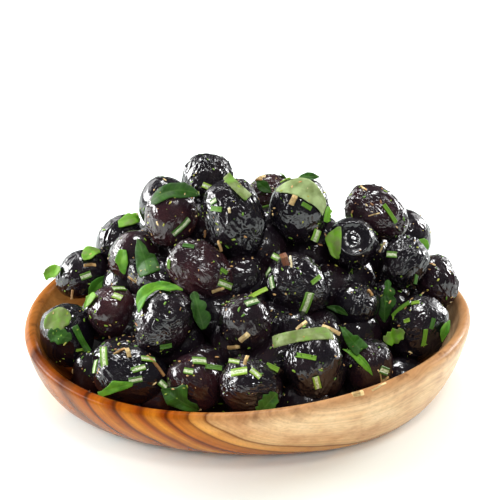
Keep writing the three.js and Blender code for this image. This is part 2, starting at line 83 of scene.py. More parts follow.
# name, place, width and height of the lamp, watts, and whether it gives a highlight
SOFTBOXES = [
    ("softbox_left", (-0.98, 0.14, 0.34), 0.85, 0.3, 16.0, True),
    ("softbox_right", (0.95, 0.6, 0.36), 0.5, 0.3, 11.0, True),
    ("window_left", (-0.9, 0.75, 0.5), 1.0, 0.8, 8.0, True),
    ("window_right", (0.95, 0.8, 0.5), 1.0, 0.8, 7.0, True),
    ("softbox_top", (-0.1, 0.35, 1.15), 0.4, 0.3, 8.0, True),
    ("lamp_front", (0.25, -0.9, 1.3), 0.2, 0.2, 5.0, True),
    ("reflector_front", (0.1, -1.25, 0.8), 1.2, 0.6, 13.5, False),
    ("reflector_back", (0.0, 0.6, 2.0), 2.0, 1.0, 12.0, False),
]


def linear(colour):
    """An sRGB hex colour as the linear red, green, blue and alpha that a node takes."""
    shares = [int(colour[i : i + 2], 16) / 255 for i in (1, 3, 5)]
    return [s / 12.92 if s < 0.04045 else ((s + 0.055) / 1.055) ** 2.4 for s in shares] + [1]


def add_node(tree, kind, inputs=(), stops=(), **settings):
    """A new shader node: a number goes into a socket, another node or one of its outputs is
    linked to it, and stops are a ramp's places and colours."""
    node = tree.nodes.new("ShaderNode" + kind)
    for name, value in settings.items():
        setattr(node, name, value)
    for socket, value in dict(inputs).items():
        if isinstance(value, bpy.types.Node):
            value = value.outputs[0]
        if isinstance(value, bpy.types.NodeSocket):
            tree.links.new(value, node.inputs[socket])
        else:
            node.inputs[socket].default_value = value
    if stops:
        ramp = node.color_ramp
        while len(ramp.elements) > 1:
            ramp.elements.remove(ramp.elements[-1])
        ramp.elements[0].position = stops[0][0]
        ramp.elements[0].color = linear(stops[0][1])
        for place, colour in stops[1:]:
            ramp.elements.new(place).color = linear(colour)
    return node


def new_material(name):
    """A named material without nodes, and its node tree."""
    material = bpy.data.materials.new(name)
    material.use_nodes = True
    material.node_tree.nodes.clear()
    return material, material.node_tree


def deselect():
    """Leaves nothing selected, so that an operator acts on the new piece alone."""
    for thing in bpy.context.selected_objects:
        thing.select_set(False)


deselect()
bpy.ops.mesh.primitive_plane_add(size=FLOOR_SIZE, location=(0, 0, -FLOOR_DROP))
floor = bpy.context.object
floor.name = "floor"
white_table, tree = new_material("matt_white_laminate")
laminate = add_node(tree, "BsdfPrincipled", {"Base Color": linear(FLOOR_COLOUR), "Roughness": 0.7})
add_node(tree, "OutputMaterial", {"Surface": laminate})
floor.data.materials.append(white_table)

for name, place, width, height, watts, highlight in SOFTBOXES:
    bpy.ops.object.light_add(type="AREA", location=place)
    softbox = bpy.context.object
    softbox.name = name
    softbox.rotation_euler = (-Vector(place)).to_track_quat("-Z", "Y").to_euler()
    softbox.data.shape = "RECTANGLE"
    softbox.data.size = width
    softbox.data.size_y = height
    softbox.data.energy = watts
    softbox.visible_glossy = highlight

room = bpy.data.worlds.new("room")
room.use_nodes = True
room_light = room.node_tree.nodes["Background"].inputs
room_light["Color"].default_value = linear(ROOM_COLOUR)
room_light["Strength"].default_value = ROOM_STRENGTH
bpy.context.scene.world = room
bpy.context.scene.view_settings.view_transform = "Standard"

# ---------------------------------------------------------------- bowl
# Turned and hand-carved from one piece of olive wood, with a rounded lip and an uneven
# rim, then sanded and oiled to a satin sheen.
MM = 0.001
RIM_RADIUS = 80
RIM_HEIGHT = 29
RIM_TILT = 2.3
RIM_TWIST = -2
FOOT_RADIUS = 56
FOOT_OVAL = 0.145
FOOT_TURN = math.radians(-10)
FOOT_SHIFT = (-3, -4)
FOOT_EDGE = 1.2
LIP = 5
FLOOR_THICK = 6
INNER_FLOOR_RADIUS = 48
# How full and how round the curve of a wall is.
OUTER_WALL = (1.24, 1.6)
INNER_WALL = (1.3, 1.5)
BOWL_SIDES = 64
WALL_STEPS = 7
LIP_STEPS = 6
CARVED_DEPTH = 0.16
CARVED_WIDTH = 22
SMUDGE_REACH = 7
# How dark the lip is, partly oil stain and partly painted shade, and how far below the rim that
# reaches.
LIP_STAIN_AND_SHADE = 0.3
LIP_STAIN_AND_SHADE_REACH = 5
# The inside is where the surface faces out less than this, blended over a stretch. There the wood
# is a little darker from oil near the rim, and darker still below a share of the wall's height:
# painted shade under the olives.
INSIDE_FROM = 0.75
INSIDE_BLEND = 0.6
INSIDE_STAIN_AND_SHADE = 0.08
INSIDE_SHADE_GROWTH = 1.3
INSIDE_SHADE_HEIGHT = 0.72
UNDERSIDE = -0.2


def wall_reach(share, fullness, roundness):
    """How far out a wall has come at a share of its height, from its foot to its lip."""
    return (1 - (1 - share) ** fullness) ** (1 / roundness)


def bowl_stations():
    """The rings of the bowl, from under the foot over the lip to the inner floor: radius,
    height, and share of the foot's oval and shift."""
    stations = [(FOOT_RADIUS - FOOT_EDGE, 0, 1)]
    lip_radius = RIM_RADIUS - LIP / 2
    lip_height = RIM_HEIGHT - LIP / 2
    for i in range(WALL_STEPS + 1):
        share = 1 - math.cos(i / WALL_STEPS * math.pi / 2)
        reach = wall_reach(share, *OUTER_WALL)
        radius = FOOT_RADIUS + (RIM_RADIUS - FOOT_RADIUS) * reach
        stations.append((radius, share * lip_height, 1 - reach))
    for i in range(1, LIP_STEPS):
        angle = i / LIP_STEPS * math.pi
        height = lip_height + LIP / 2 * math.sin(angle)
        stations.append((lip_radius + LIP / 2 * math.cos(angle), height, 0))
    for i in range(WALL_STEPS, -1, -1):
        share = 1 - math.cos(i / WALL_STEPS * math.pi / 2)
        reach = wall_reach(share, *INNER_WALL)
        height = FLOOR_THICK + share * (lip_height - FLOOR_THICK)
        stations.append((inner_radius(reach), height, 1 - reach))
    stations.append((INNER_FLOOR_RADIUS / 2, FLOOR_THICK, 1))
    return stations


def rim_rise(angle):
    """Height of the uneven rim round the bowl, as a share of its mean height."""
    return 1 + (RIM_TILT * math.cos(angle) + RIM_TWIST * math.sin(2 * angle)) / RIM_HEIGHT


def inner_radius(reach):
    """Radius of the inner wall where it has come out by a share."""
    return INNER_FLOOR_RADIUS + (RIM_RADIUS - LIP - INNER_FLOOR_RADIUS) * reach


def finish_modifier(piece, kind, **settings):
    """Adds a modifier with its settings and applies it."""
    bpy.context.view_layer.objects.active = piece
    modifier = piece.modifiers.new(kind.lower(), kind)
    for name, value in settings.items():
        setattr(modifier, name, value)
    bpy.ops.object.modifier_apply(modifier=modifier.name)


def set_attribute(piece, name, values):
    """Gives each vertex of a piece a number that its material reads."""
    piece.data.attributes.new(name, "FLOAT", "POINT").data.foreach_set("value", values)


def smooth(piece):
    """Shades a piece smooth."""
    piece.data.polygons.foreach_set("use_smooth", [True] * len(piece.data.polygons))


stations = bowl_stations()
deselect()
bpy.ops.mesh.primitive_circle_add(
    vertices=BOWL_SIDES, radius=stations[0][0] * MM, fill_type="TRIFAN"
)
bowl = bpy.context.object
bowl.name = "carved_bowl"
bpy.ops.object.mode_set(mode="EDIT")
bpy.ops.mesh.select_mode(type="EDGE")
bpy.ops.mesh.select_all(action="SELECT")
bpy.ops.mesh.flip_normals()
bpy.ops.mesh.select_all(action="DESELECT")
bpy.ops.mesh.select_non_manifold()
for (radius, height, _), (next_radius, next_height, _) in zip(stations, stations[1:]):
    bpy.ops.mesh.extrude_region_move(
        TRANSFORM_OT_translate={"value": (0, 0, (next_height - height) * MM)}
    )
    grow = next_radius / radius
    bpy.ops.transform.resize(value=(grow, grow, 1), center_override=(0, 0, 0))
bpy.ops.mesh.extrude_region_move()
bpy.ops.mesh.merge(type="CENTER")
bpy.ops.object.mode_set(mode="OBJECT")
for vertex in bowl.data.vertices:
    place = vertex.co / MM
    flat = math.hypot(place.x, place.y)
    shift = min(stations, key=lambda s: abs(s[0] - flat) + abs(s[1] - place.z))[2]
    angle = math.atan2(place.y, place.x)
    oval = 1 + FOOT_OVAL * shift * math.cos(2 * (angle - FOOT_TURN))
    place.x = place.x * oval + FOOT_SHIFT[0] * shift
    place.y = place.y * oval + FOOT_SHIFT[1] * shift
    place.z *= rim_rise(angle) if flat > 1 else 1
    vertex.co = place * MM
finish_modifier(bowl, "SUBSURF", levels=2, render_levels=2)
oil_soaked, rim_band = [], []
for vertex in bowl.data.vertices:
    place = vertex.co / MM
    height = place.z / (RIM_HEIGHT * rim_rise(math.atan2(place.y, place.x)))
    faces_out = vertex.normal.dot(Vector((place.x, place.y, 0)).normalized())
    inward = min(1, max(0, (INSIDE_FROM - faces_out) / INSIDE_BLEND))
    if vertex.normal.z <= UNDERSIDE:
        inward = 0
    # Darkening of the lip and the inside: partly oil stain, partly painted shade that deepens
    # towards the bottom.
    below_rim = max(0, 1 - height) * RIM_HEIGHT
    lip_stain_and_shade = LIP_STAIN_AND_SHADE * max(0, 1 - below_rim / LIP_STAIN_AND_SHADE_REACH)
    inner_stain_and_shade = inward * (INSIDE_STAIN_AND_SHADE + INSIDE_SHADE_GROWTH * max(0, INSIDE_SHADE_HEIGHT - height))
    oil_soaked.append(min(1, max(inner_stain_and_shade, lip_stain_and_shade)))
    rim_band.append(max(0, 1 - below_rim / SMUDGE_REACH))
    if place.z > 0.5:
        depth = CARVED_DEPTH * (noise.noise(place / CARVED_WIDTH) - 1)
        vertex.co += vertex.normal * depth * MM
set_attribute(bowl, "oil_soaked", oil_soaked)
set_attribute(bowl, "rim_band", rim_band)
smooth(bowl)

# Oiled olive wood. Growth rings round a pith that lies above the bowl's right half and
# runs back to the right, warped as the tree grew: cream wood near the pith, then honey
# and orange bands with thin dark veins. Pores are fine short dashes along the grain.
PITH = (0.042, -0.06, 0.047)
PITH_TURN = math.radians(-60)
RING_DEEPEN = 1.05
WOOD_WARP = 4.5 * MM
WARP_WIDTH = 38 * MM
FINE_RING_WIDTH = 1.6 * MM
RING_REACH = 130 * MM
# Distance from the pith in millimetres, and the colour of the wood there.
RINGS = [
    (0, "#d2a97f"), (24, "#e0bd93"), (30, "#e4c59c"), (37, "#dab184"), (42.9, "#d8ac77"),
    (43.6, "#6b3a1a"), (44.8, "#d39a58"), (48.6, "#d8994a"), (49.3, "#74401a"),
    (50.6, "#b06a24"), (55.6, "#b96a1e"), (57, "#5f2b08"), (58.6, "#9a4a0e"),
    (61.5, "#c98328"), (64.5, "#b46914"), (65.8, "#6f330b"), (67.5, "#9c4e10"),
    (71, "#c47c1e"), (73, "#b26612"), (73.8, "#45200a"), (75.2, "#94490a"), (79, "#bb7116"),
    (82.5, "#a3560f"), (84, "#3f1f07"), (85.4, "#8e440b"), (89, "#a86019"), (96, "#5f2c08"),
    (102, "#9a5514"), (112, "#7c400d"), (118, "#5a2a08"), (120.5, "#b87436"), (129, "#c98d4c"),
]
TINTED = {"data_type": "RGBA", "blend_type": "MULTIPLY"}
olive_wood, tree = new_material("oiled_olive_wood")
coords = add_node(tree, "TexCoord").outputs["Object"]
centred = add_node(tree, "VectorMath", {0: coords, 1: PITH}, operation="SUBTRACT")
warp = add_node(tree, "TexNoise", {"Vector": coords, "Scale": 1 / WARP_WIDTH, "Roughness": 0.45})
warp_middle = add_node(
    tree, "VectorMath", {0: warp.outputs["Color"], 1: (0.5, 0.5, 0.5)}, operation="SUBTRACT"
)
warp_size = add_node(
    tree, "VectorMath", {0: warp_middle, "Scale": 2 * WOOD_WARP}, operation="SCALE"
)
warped = add_node(tree, "VectorMath", {0: centred, 1: warp_size}, operation="ADD")
# The pith along Y, so that X and Z lie across the grain.
grain_turn = (0, 0, math.pi / 2 + PITH_TURN)
grain_place = add_node(tree, "Mapping", {"Vector": warped, "Rotation": grain_turn})
across_grain = add_node(
    tree, "VectorMath", {0: grain_place, 1: (1, 0, RING_DEEPEN)}, operation="MULTIPLY"
)
ring_radius = add_node(tree, "VectorMath", {0: across_grain}, operation="LENGTH").outputs["Value"]
ring_share = add_node(tree, "Math", {0: ring_radius, 1: 1 / RING_REACH}, operation="MULTIPLY")
ring_stops = [(radius * MM / RING_REACH, colour) for radius, colour in RINGS]
ring_tone = add_node(tree, "ValToRGB", {"Fac": ring_share}, ring_stops)
# Clouds of deeper colour, then fine rings and pores.
cloud = add_node(
    tree, "TexNoise", {"Vector": coords, "Scale": 1 / (15 * MM), "Detail": 3, "Roughness": 0.6}
)
cloud_stops = [(0.3, "#b98a66"), (0.46, "#f0e4d8"), (0.6, "#ffffff")]
cloud_tone = add_node(tree, "ValToRGB", {"Fac": cloud}, cloud_stops)
clouded = add_node(tree, "Mix", {"Factor": 0.55, 6: ring_tone, 7: cloud_tone}, **TINTED)
fine_count = add_node(tree, "Math", {0: ring_radius, 1: 1 / FINE_RING_WIDTH}, operation="MULTIPLY")
fine_rings = add_node(
    tree,
    "TexNoise",
    {"W": fine_count, "Scale": 1, "Detail": 3, "Roughness": 0.6},
    noise_dimensions="1D",
)
fine_share = add_node(
    tree, "MapRange", {"Value": fine_rings, "From Min": 0.3, "From Max": 0.65, "To Min": 0.8}
)
pore_place = add_node(tree, "Mapping", {"Vector": grain_place, "Scale": (1, 0.1, 1)})
pores = add_node(tree, "TexNoise", {"Vector": pore_place, "Scale": 1 / (0.8 * MM)})
pore_share = add_node(
    tree, "MapRange", {"Value": pores, "From Min": 0.3, "From Max": 0.55, "To Min": 0.86}
)
fine_tone = add_node(tree, "Math", {0: fine_share, 1: pore_share}, operation="MULTIPLY")
grained = add_node(tree, "Mix", {"Factor": 1.0, 6: clouded.outputs[2], 7: fine_tone}, **TINTED)
# Brown smudges where hands take the bowl by its rim, and the lip and the inside darkened partly by
# the oil of the food and partly by painted shade, more so towards the bottom.
smudges = add_node(
    tree, "TexNoise", {"Vector": coords, "Scale": 1 / (8 * MM), "Detail": 3, "Roughness": 0.65}
)
smudge_share = add_node(
    tree, "MapRange", {"Value": smudges, "From Min": 0.56, "From Max": 0.7, "To Max": 0.7}
)
band = add_node(tree, "Attribute", attribute_name="rim_band").outputs["Fac"]
smudge_factor = add_node(tree, "Math", {0: smudge_share, 1: band}, operation="MULTIPLY")
smudged = add_node(
    tree,
    "Mix",
    {"Factor": smudge_factor, 6: grained.outputs[2], 7: linear("#714a2e")},
    data_type="RGBA",
)
# The lip and the inside are darkened by oil stain and painted shade, more towards the bottom.
stain_and_shade = add_node(tree, "Attribute", attribute_name="oil_soaked").outputs["Fac"]
stain_and_shade_stops = [(0.0, "#ffffff"), (0.35, "#c2a688"), (0.6, "#94694a"), (0.9, "#402818")]
stain_and_shade_tone = add_node(tree, "ValToRGB", {"Fac": stain_and_shade}, stain_and_shade_stops)
wood_tone = add_node(tree, "Mix", {"Factor": 1.0, 6: smudged.outputs[2], 7: stain_and_shade_tone}, **TINTED)
wood_bump = add_node(tree, "Bump", {"Height": pores, "Strength": 0.3, "Distance": 0.05 * MM})
wood = add_node(
    tree,
    "BsdfPrincipled",
    {
        "Base Color": wood_tone.outputs[2],
        "Roughness": 0.24,
        "IOR": 1.48,
        "Specular IOR Level": 0.06,
        "Normal": wood_bump,
    },
)
add_node(tree, "OutputMaterial", {"Surface": wood})
bowl.data.materials.append(olive_wood)
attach(bowl, "root")
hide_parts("bowl")

# ---------------------------------------------------------------- olives
# Black olives, dried until the skin wrinkles along their length, then oiled. Each is a
# round body of its own size, laid one by one in front and by a rule behind.
EYE = math.radians(25.5)
RIGHT = Vector((1, 0, 0))
UP = Vector((0, math.sin(EYE), math.cos(EYE)))
TOWARD = Vector((0, -math.cos(EYE), math.sin(EYE)))
ABOVE = Vector((0, 0, 1))
HEAP_TOP = 66
HEAP_DROP = 41
HEAP_RADIUS = 72
HEAP_POWER = 1.7
FRONT_DROP = 11
FRONT_REACH = 20

# The olives that show from the front, in millimetres: x, y, z of the middle, length,
# width, then the degrees that the long axis turns to the right of upright and leans
# towards the eye, how deep its wrinkles are, how red its skin is, and how deep the hollow
# is where its stem was, where that shows.
FRONT_OLIVES = [
    (-14.5, 22, 70, 20.5, 19, 35, 30, 0.9, 0.15),
    (-30.5, 30, 57.5, 22, 19.5, 20, 10, 0.3, 0.05),
    (-27, 6, 62, 23, 19.5, 12, 0, 0.7, 0.75),
    (-4, -2, 64, 30.5, 22, -18, 5, 1.2, 0.1),
    (8, 27, 61.5, 18.5, 16.5, 80, 0, 0.9, 0.9),
    (18.5, 3, 65.5, 24, 21.5, -5, 10, 0.6, 0.15),
    (46.5, 15, 59.5, 25.5, 18.5, -62, 0, 1.0, 0.7),
    (59.5, 31, 44.5, 21, 18.5, -40, 0, 0.4, 0.3),
    (37, 1, 53.5, 22, 18.5, 0, 80, 0.4, 0.0, 3.2),
    (56, 0, 46.5, 20, 17.5, 20, 30, 1.1, 0.0),
    (68.5, 6, 37, 20, 16.5, -25, 0, 0.9, 0.6),
    (-47, 30, 43, 21.5, 18, 40, 0, 0.6, 0.0),
    (-40.5, 8, 46, 21, 18, 60, 20, 0.5, 0.65),
    (-61, 20, 33.5, 21.5, 17.5, 48, 0, 0.7, 0.25),
    (-16, -16, 50.5, 26, 19, -55, 0, 0.9, 0.85),
    (17, -19, 46.5, 25, 20.5, -60, 10, 1.0, 0.2),
    (37.5, -15, 36.5, 18.5, 16.5, 30, 30, 0.9, 0.1),
    (-47, -14, 34, 19, 18, 0, 30, 0.3, 0.85),
    (-28, -34, 39.5, 25.5, 20, 25, 0, 0.75, 0.35),
    (-0.5, -35, 39.5, 21.5, 18.5, -20, 20, 0.55, 0.45),
    (-63.5, -13, 24.5, 24, 19, -12, 0, 0.7, 0.0),
    (59.5, -18, 29.5, 24.5, 20, 30, 10, 0.8, 0.25),
    (21.5, -49, 32.5, 26, 19.5, 5, 0, 0.9, 0.2),
    (-38.5, -46, 25.5, 26.5, 19.5, -78, 0, 0.75, 0.1),
    (-17, -50, 25.5, 21, 18.5, -30, 10, 0.6, 0.7),
    (1, -58, 28, 21.5, 18.5, -75, 0, 1.1, 0.3),
    (41, -37, 24.5, 20, 17.5, 10, 30, 0.6, 0.5),
    (64.5, 3, 27.5, 17, 15, 0, 0, 0.9, 0.1),
]
UNDER_OLIVES = [
    (-14, 15, 55, 21, 18, 40, 0),
    (7, 14, 52, 20, 18, -30, 20),
    (25, 12, 50, 21, 18, 70, 0),
    (43, 17, 43, 20, 18, 10, 40),
    (54, 18, 33, 21, 18, -60, 0),
    (-34, 22, 43, 20, 18, 30, 0),
    (-2, -13, 46, 20, 17.5, 80, 20),
    (-30, -8, 42, 20, 17, -40, 0),
]
# Olives added by rule, from the wall inwards: how many are tried for, least and most
# distance from the axis, and least and most depth below the heap's outer layer.
LAYERS = [(16, 58, 66, -1, 3), (14, 38, 58, -1, 3), (8, 14, 38, -1, 3), (22, 0, 62, 6, 14)]
SEAT = 17
LEAST_LENGTH = 19
SPARE_LENGTH = 6
LEAST_WIDTH = 16.5
SPARE_WIDTH = 3
MOST_LEAN = 30
SQUASH = 2.2
TRIES = 300
OPEN_FRONT = -32
# How near an olive added by rule may come to one that is listed, in shares of their sizes.
BEHIND_BY = 0.4
CLEAR_BY = 0.85


class Olive:
    """An olive's middle, long axis, length and width, and the look of its skin."""

    def __init__(self, x, y, z, length, width, turn, lean, wrinkled=0.7, red=0.3, hollow=0.8):
        turned, leant = math.radians(turn), math.radians(lean)
        self.middle = Vector((x, y, z))
        self.axis = RIGHT * (math.sin(turned) * math.cos(leant))
        self.axis += UP * (math.cos(turned) * math.cos(leant)) + TOWARD * math.sin(leant)
        self.length, self.width = length, width
        self.size = (length + 2 * width) / 6
        self.wrinkled, self.red, self.hollow = wrinkled, red, hollow


def draws(seed):
    """A function that gives the same run of numbers from 0 to 1 each time."""
    state = [seed]

    def draw():
        state[0] = state[0] * 16807 % 2147483647
        return state[0] / 2147483647

    return draw


def heap_height(x, y):
    """Height of an olive's middle in the outer layer of the heap."""
    crown = HEAP_TOP - HEAP_DROP * (math.hypot(x, y) / HEAP_RADIUS) ** HEAP_POWER
    return crown - FRONT_DROP * min(1, max(0, -y / FRONT_REACH))


def is_behind(olive, shown):
    """Whether an olive stays out of sight behind those listed."""
    across, up, toward = (olive.middle.dot(way) for way in (RIGHT, UP, TOWARD))
    skyline = -math.inf
    for other in shown:
        aside = abs(across - other.middle.dot(RIGHT))
        other_up = other.middle.dot(UP)
        apart = math.hypot(aside, up - other_up)
        nearer = toward > other.middle.dot(TOWARD) - BEHIND_BY * other.size
        if apart < CLEAR_BY * (olive.size + other.size) and nearer:
            return False
        if aside < other.size:
            skyline = max(skyline, other_up + math.sqrt(other.size**2 - aside**2))
    return up + olive.size < skyline - 1


def add_layer(olives, shown, draw, count, innermost, outermost, least, most):
    """Adds olives one by one, each where it lies closest to its neighbours."""
    for _ in range(count):
        best, best_gap = None, math.inf
        for _ in range(TRIES):
            angle = draw() * 2 * math.pi
            radius = innermost + (outermost - innermost) * math.sqrt(draw())
            x, y = radius * math.cos(angle), radius * math.sin(angle)
            height = heap_height(x, y) - least - (most - least) * draw()
            length = LEAST_LENGTH + SPARE_LENGTH * draw()
            width = LEAST_WIDTH + SPARE_WIDTH * draw()
            turn, lean = 360 * draw(), MOST_LEAN * (2 * draw() - 1)
            if height < SEAT:
                continue
            olive = Olive(x, y, height, length, width, turn, lean)
            gap = min((olive.middle - o.middle).length - olive.size - o.size for o in olives)
            if gap < -SQUASH or gap >= best_gap or not is_behind(olive, shown):
                continue
            best, best_gap = olive, gap
        if best and best.middle.y > OPEN_FRONT:
            olives.append(best)


olives = [Olive(*row) for row in FRONT_OLIVES]
shown = list(olives)
olives += [Olive(*row) for row in UNDER_OLIVES]
draw = draws(41)
for layer in LAYERS:
    add_layer(olives, shown, draw, *layer)

# The skin's relief in millimetres. It has shrunk on the flesh into ridges with hollows
# between them, drawn out along the olive, with finer ridges on those. A part of each
# olive stays nearly smooth, and a dip at one end is where its stem was.
FOLD_WIDTH = 8.0
FOLD_HEIGHT = 1.0
FOLD_MEAN = 0.25
RIDGE_WIDTHS = (4.2, 2.3, 1.3)
RIDGE_HEIGHTS = (0.55, 0.42, 0.16)
RIDGE_SHARPNESS = (4.2, 3.2, 2.4)
RIDGE_MEAN = 0.35
SMOOTH_WIDTH = 8.5
DEPTH_MEAN = 0.62
DEPTH_SPREAD = 1.5
DEPTH_LEAST = 0.1
DEPTH_MOST = 1.15
SWIRL_WIDTH = 6.0
SWIRL = 1.5
SWIRL_SEED = 41
STRETCH = 1.9
STRETCH_SPREAD = 1.2
TAPER = 0.05
HOLLOW_EDGE = 0.76
WALL_GAP = 0.5

# Without a seed, noise_vector gives other values each time the script runs.
noise.seed_set(SWIRL_SEED)


def skin_relief(place, stretch, offset):
    """How far the skin stands in or out at a place given in millimetres from the olive's
    middle, with its long axis along Y, and that place drawn out along the ridges."""
    swirl = noise.noise_vector((place + offset) / SWIRL_WIDTH) * SWIRL
    drawn = Vector((place.x, place.y / stretch, place.z)) + swirl + offset
    depth = DEPTH_MEAN + DEPTH_SPREAD * noise.noise((place - offset) / SMOOTH_WIDTH)
    depth = min(DEPTH_MOST, max(DEPTH_LEAST, depth))
    height = FOLD_HEIGHT * (noise.noise((place + offset) / FOLD_WIDTH) - FOLD_MEAN)
    for width, size, sharpness in zip(RIDGE_WIDTHS, RIDGE_HEIGHTS, RIDGE_SHARPNESS):
        share = max(0, 1 - sharpness * abs(noise.noise(drawn / width)))
        height += depth * size * (share * share - RIDGE_MEAN)
    return height, drawn


def inside_bowl(place):
    """A place in millimetres, moved in where it would be in the bowl's wall or floor."""
    rise = rim_rise(math.atan2(place.y, place.x))
    if place.z > RIM_HEIGHT * rise:
        return place
    place.z = max(place.z, FLOOR_THICK + WALL_GAP)
    share = (place.z / rise - FLOOR_THICK) / (RIM_HEIGHT - LIP / 2 - FLOOR_THICK)
    reach = wall_reach(min(1, max(0, share)), *INNER_WALL)
    most = inner_radius(reach) - WALL_GAP
    shift = 1 - reach
    middle = Vector((FOOT_SHIFT[0] * shift, FOOT_SHIFT[1] * shift, place.z))
    out = place - middle
    turned = math.atan2(out.y, out.x) - FOOT_TURN
    most *= 1 + FOOT_OVAL * shift * math.cos(2 * turned)
    return middle + out * min(1, most / max(out.length, 1))


def olive_places(unit_sphere, olive, offset):
    """Where the vertices of a round ball of radius 1 go to make a wrinkled olive, and
    those places as the fine wrinkles run."""
    lying = Matrix.Rotation(math.pi / 2, 3, "X")
    to_heap = ABOVE.rotation_difference(olive.axis).to_matrix() @ lying
    stretch = STRETCH + STRETCH_SPREAD * noise.noise(offset)
    places, drawn_places = [], []
    for unit in unit_sphere:
        taper = 1 + TAPER * unit.y
        place = Vector((unit.x * taper, unit.y, unit.z * taper))
        place.x *= olive.width / 2
        place.y *= olive.length / 2
        place.z *= olive.width / 2
        relief, drawn = skin_relief(place, stretch, offset)
        place += unit * (olive.wrinkled * relief)
        dip = max(0, (unit.y - HOLLOW_EDGE) / (1 - HOLLOW_EDGE))
        place.y -= olive.hollow * dip * dip * (3 - 2 * dip)
        places.extend(inside_bowl(olive.middle + to_heap @ place) * MM)
        drawn_places.extend(drawn * MM)
    return places, drawn_places


def join(name, parts):
    """Joins objects into one with a name, riding the bowl's body."""
    deselect()
    for part in parts:
        part.select_set(True)
    bpy.context.view_layer.objects.active = parts[0]
    if len(parts) > 1:
        bpy.ops.object.join()
    piece = bpy.context.object
    piece.name = name
    piece.data.name = name
    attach(piece, "root")
    return piece


def copy_of(pattern, name):
    """A copy of a pattern with its own mesh."""
    copy = bpy.data.objects.new(name, pattern.data.copy())
    bpy.context.scene.collection.objects.link(copy)
    return copy


def make_olives(name, members, subdivisions):
    """Wrinkled olives as one joined piece."""
    deselect()
    bpy.ops.mesh.primitive_ico_sphere_add(subdivisions=subdivisions, radius=1)
    ball = bpy.context.object
    unit_sphere = [vertex.co.copy() for vertex in ball.data.vertices]
    parts = []
    for index, olive in members:
        part = copy_of(ball, name)
        offset = Vector((17.3 * index, 5.1 * index, -9.7 * index))
        places, drawn_places = olive_places(unit_sphere, olive, offset)
        part.data.vertices.foreach_set("co", places)
        drawn = part.data.attributes.new("drawn", "FLOAT_VECTOR", "POINT")
        drawn.data.foreach_set("vector", drawn_places)
        set_attribute(part, "red", [olive.red] * len(unit_sphere))
        set_attribute(part, "wrinkled", [olive.wrinkled] * len(unit_sphere))
        smooth(part)
        part.data.update()
        parts.append(part)
    bpy.data.objects.remove(ball)
    piece = join(name, parts)
    piece.data.materials.append(olive_skin)
    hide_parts("olives")


# Skin of a black table olive: near-black violet, wine-red where it is riper, wet with
# oil, so that every fold carries a small sharp highlight.
FINE_WRINKLE = 1.9 * MM
olive_skin, tree = new_material("oiled_black_olive_skin")
coords = add_node(tree, "TexCoord").outputs["Object"]
redness = add_node(tree, "Attribute", attribute_name="red").outputs["Fac"]
patches = add_node(tree, "TexNoise", {"Vector": coords, "Scale": 1 / (9 * MM), "Detail": 3})
patch_share = add_node(
    tree,
    "MapRange",
    {"Value": patches, "From Min": 0.3, "From Max": 0.7, "To Min": -0.3, "To Max": 0.3},
)
red_share = add_node(tree, "Math", {0: redness, 1: patch_share}, operation="ADD")
skin_stops = [(0.0, "#0e0b11"), (0.3, "#150f14"), (0.7, "#221318"), (1.0, "#31181b")]
skin_tone = add_node(tree, "ValToRGB", {"Fac": red_share}, skin_stops)
along_skin = add_node(tree, "Attribute", attribute_name="drawn").outputs["Vector"]
grain = add_node(
    tree,
    "TexNoise",
    {"Vector": along_skin, "Scale": 1 / FINE_WRINKLE, "Offset": 1, "Gain": 1.5},
    noise_type="RIDGED_MULTIFRACTAL",
)
oil_film = add_node(tree, "TexNoise", {"Vector": coords, "Scale": 1 / (5 * MM)})
skin_rough = add_node(
    tree,
    "MapRange",
    {"Value": oil_film, "From Min": 0.35, "From Max": 0.65, "To Min": 0.08, "To Max": 0.25},
)
wrinkled = add_node(tree, "Attribute", attribute_name="wrinkled").outputs["Fac"]
grain_height = add_node(tree, "Math", {0: grain, 1: wrinkled}, operation="MULTIPLY")
skin_bump = add_node(
    tree, "Bump", {"Height": grain_height, "Strength": 0.9, "Distance": 0.11 * MM}
)
skin = add_node(
    tree,
    "BsdfPrincipled",
    {
        "Base Color": skin_tone,
        "Roughness": skin_rough,
        "IOR": 1.5,
        "Specular IOR Level": 0.82,
        "Normal": skin_bump,
    },
)
add_node(tree, "OutputMaterial", {"Surface": skin})

numbered = list(enumerate(olives))
front_count = len(FRONT_OLIVES)
make_olives("olives_top", numbered[0:7], 6)
make_olives("olives_right", numbered[7:14], 6)
make_olives("olives_middle", numbered[14:21], 6)
make_olives("olives_front", numbered[21:front_count], 6)
make_olives("olives_behind", numbered[front_count:], 5)

# More olives lie under those, where only dark glimpses of them show: most in a spiral, as
# seeds lie in a flower head, and three low at the wall.
FILLERS = 46
FILLER_REACH = 55
FILLER_DEPTH = 14
FILLER_SEAT = 15
FILLER_SIZE = (20, 18)
FILLER_TURN = 50
GOLDEN_TURN = 2.39996
LOW_OLIVES = [(-53, -23, 14), (-55, 8, 15), (53, -28, 14)]
LOW_SIZE = (20, 17)
LOW_TURN = 40
fillers = []
for i in range(FILLERS):
    out = FILLER_REACH * math.sqrt((i + 0.5) / FILLERS)
    x, y = out * math.cos(i * GOLDEN_TURN), out * math.sin(i * GOLDEN_TURN)
    height = max(FILLER_SEAT, heap_height(x, y) - FILLER_DEPTH)
    fillers.append((i, Olive(x, y, height, *FILLER_SIZE, FILLER_TURN * i, 0)))
for i, (x, y, z) in enumerate(LOW_OLIVES):
    fillers.append((FILLERS + i, Olive(x, y, z, *LOW_SIZE, LOW_TURN * i, 0)))
make_olives("olives_below", fillers, 4)
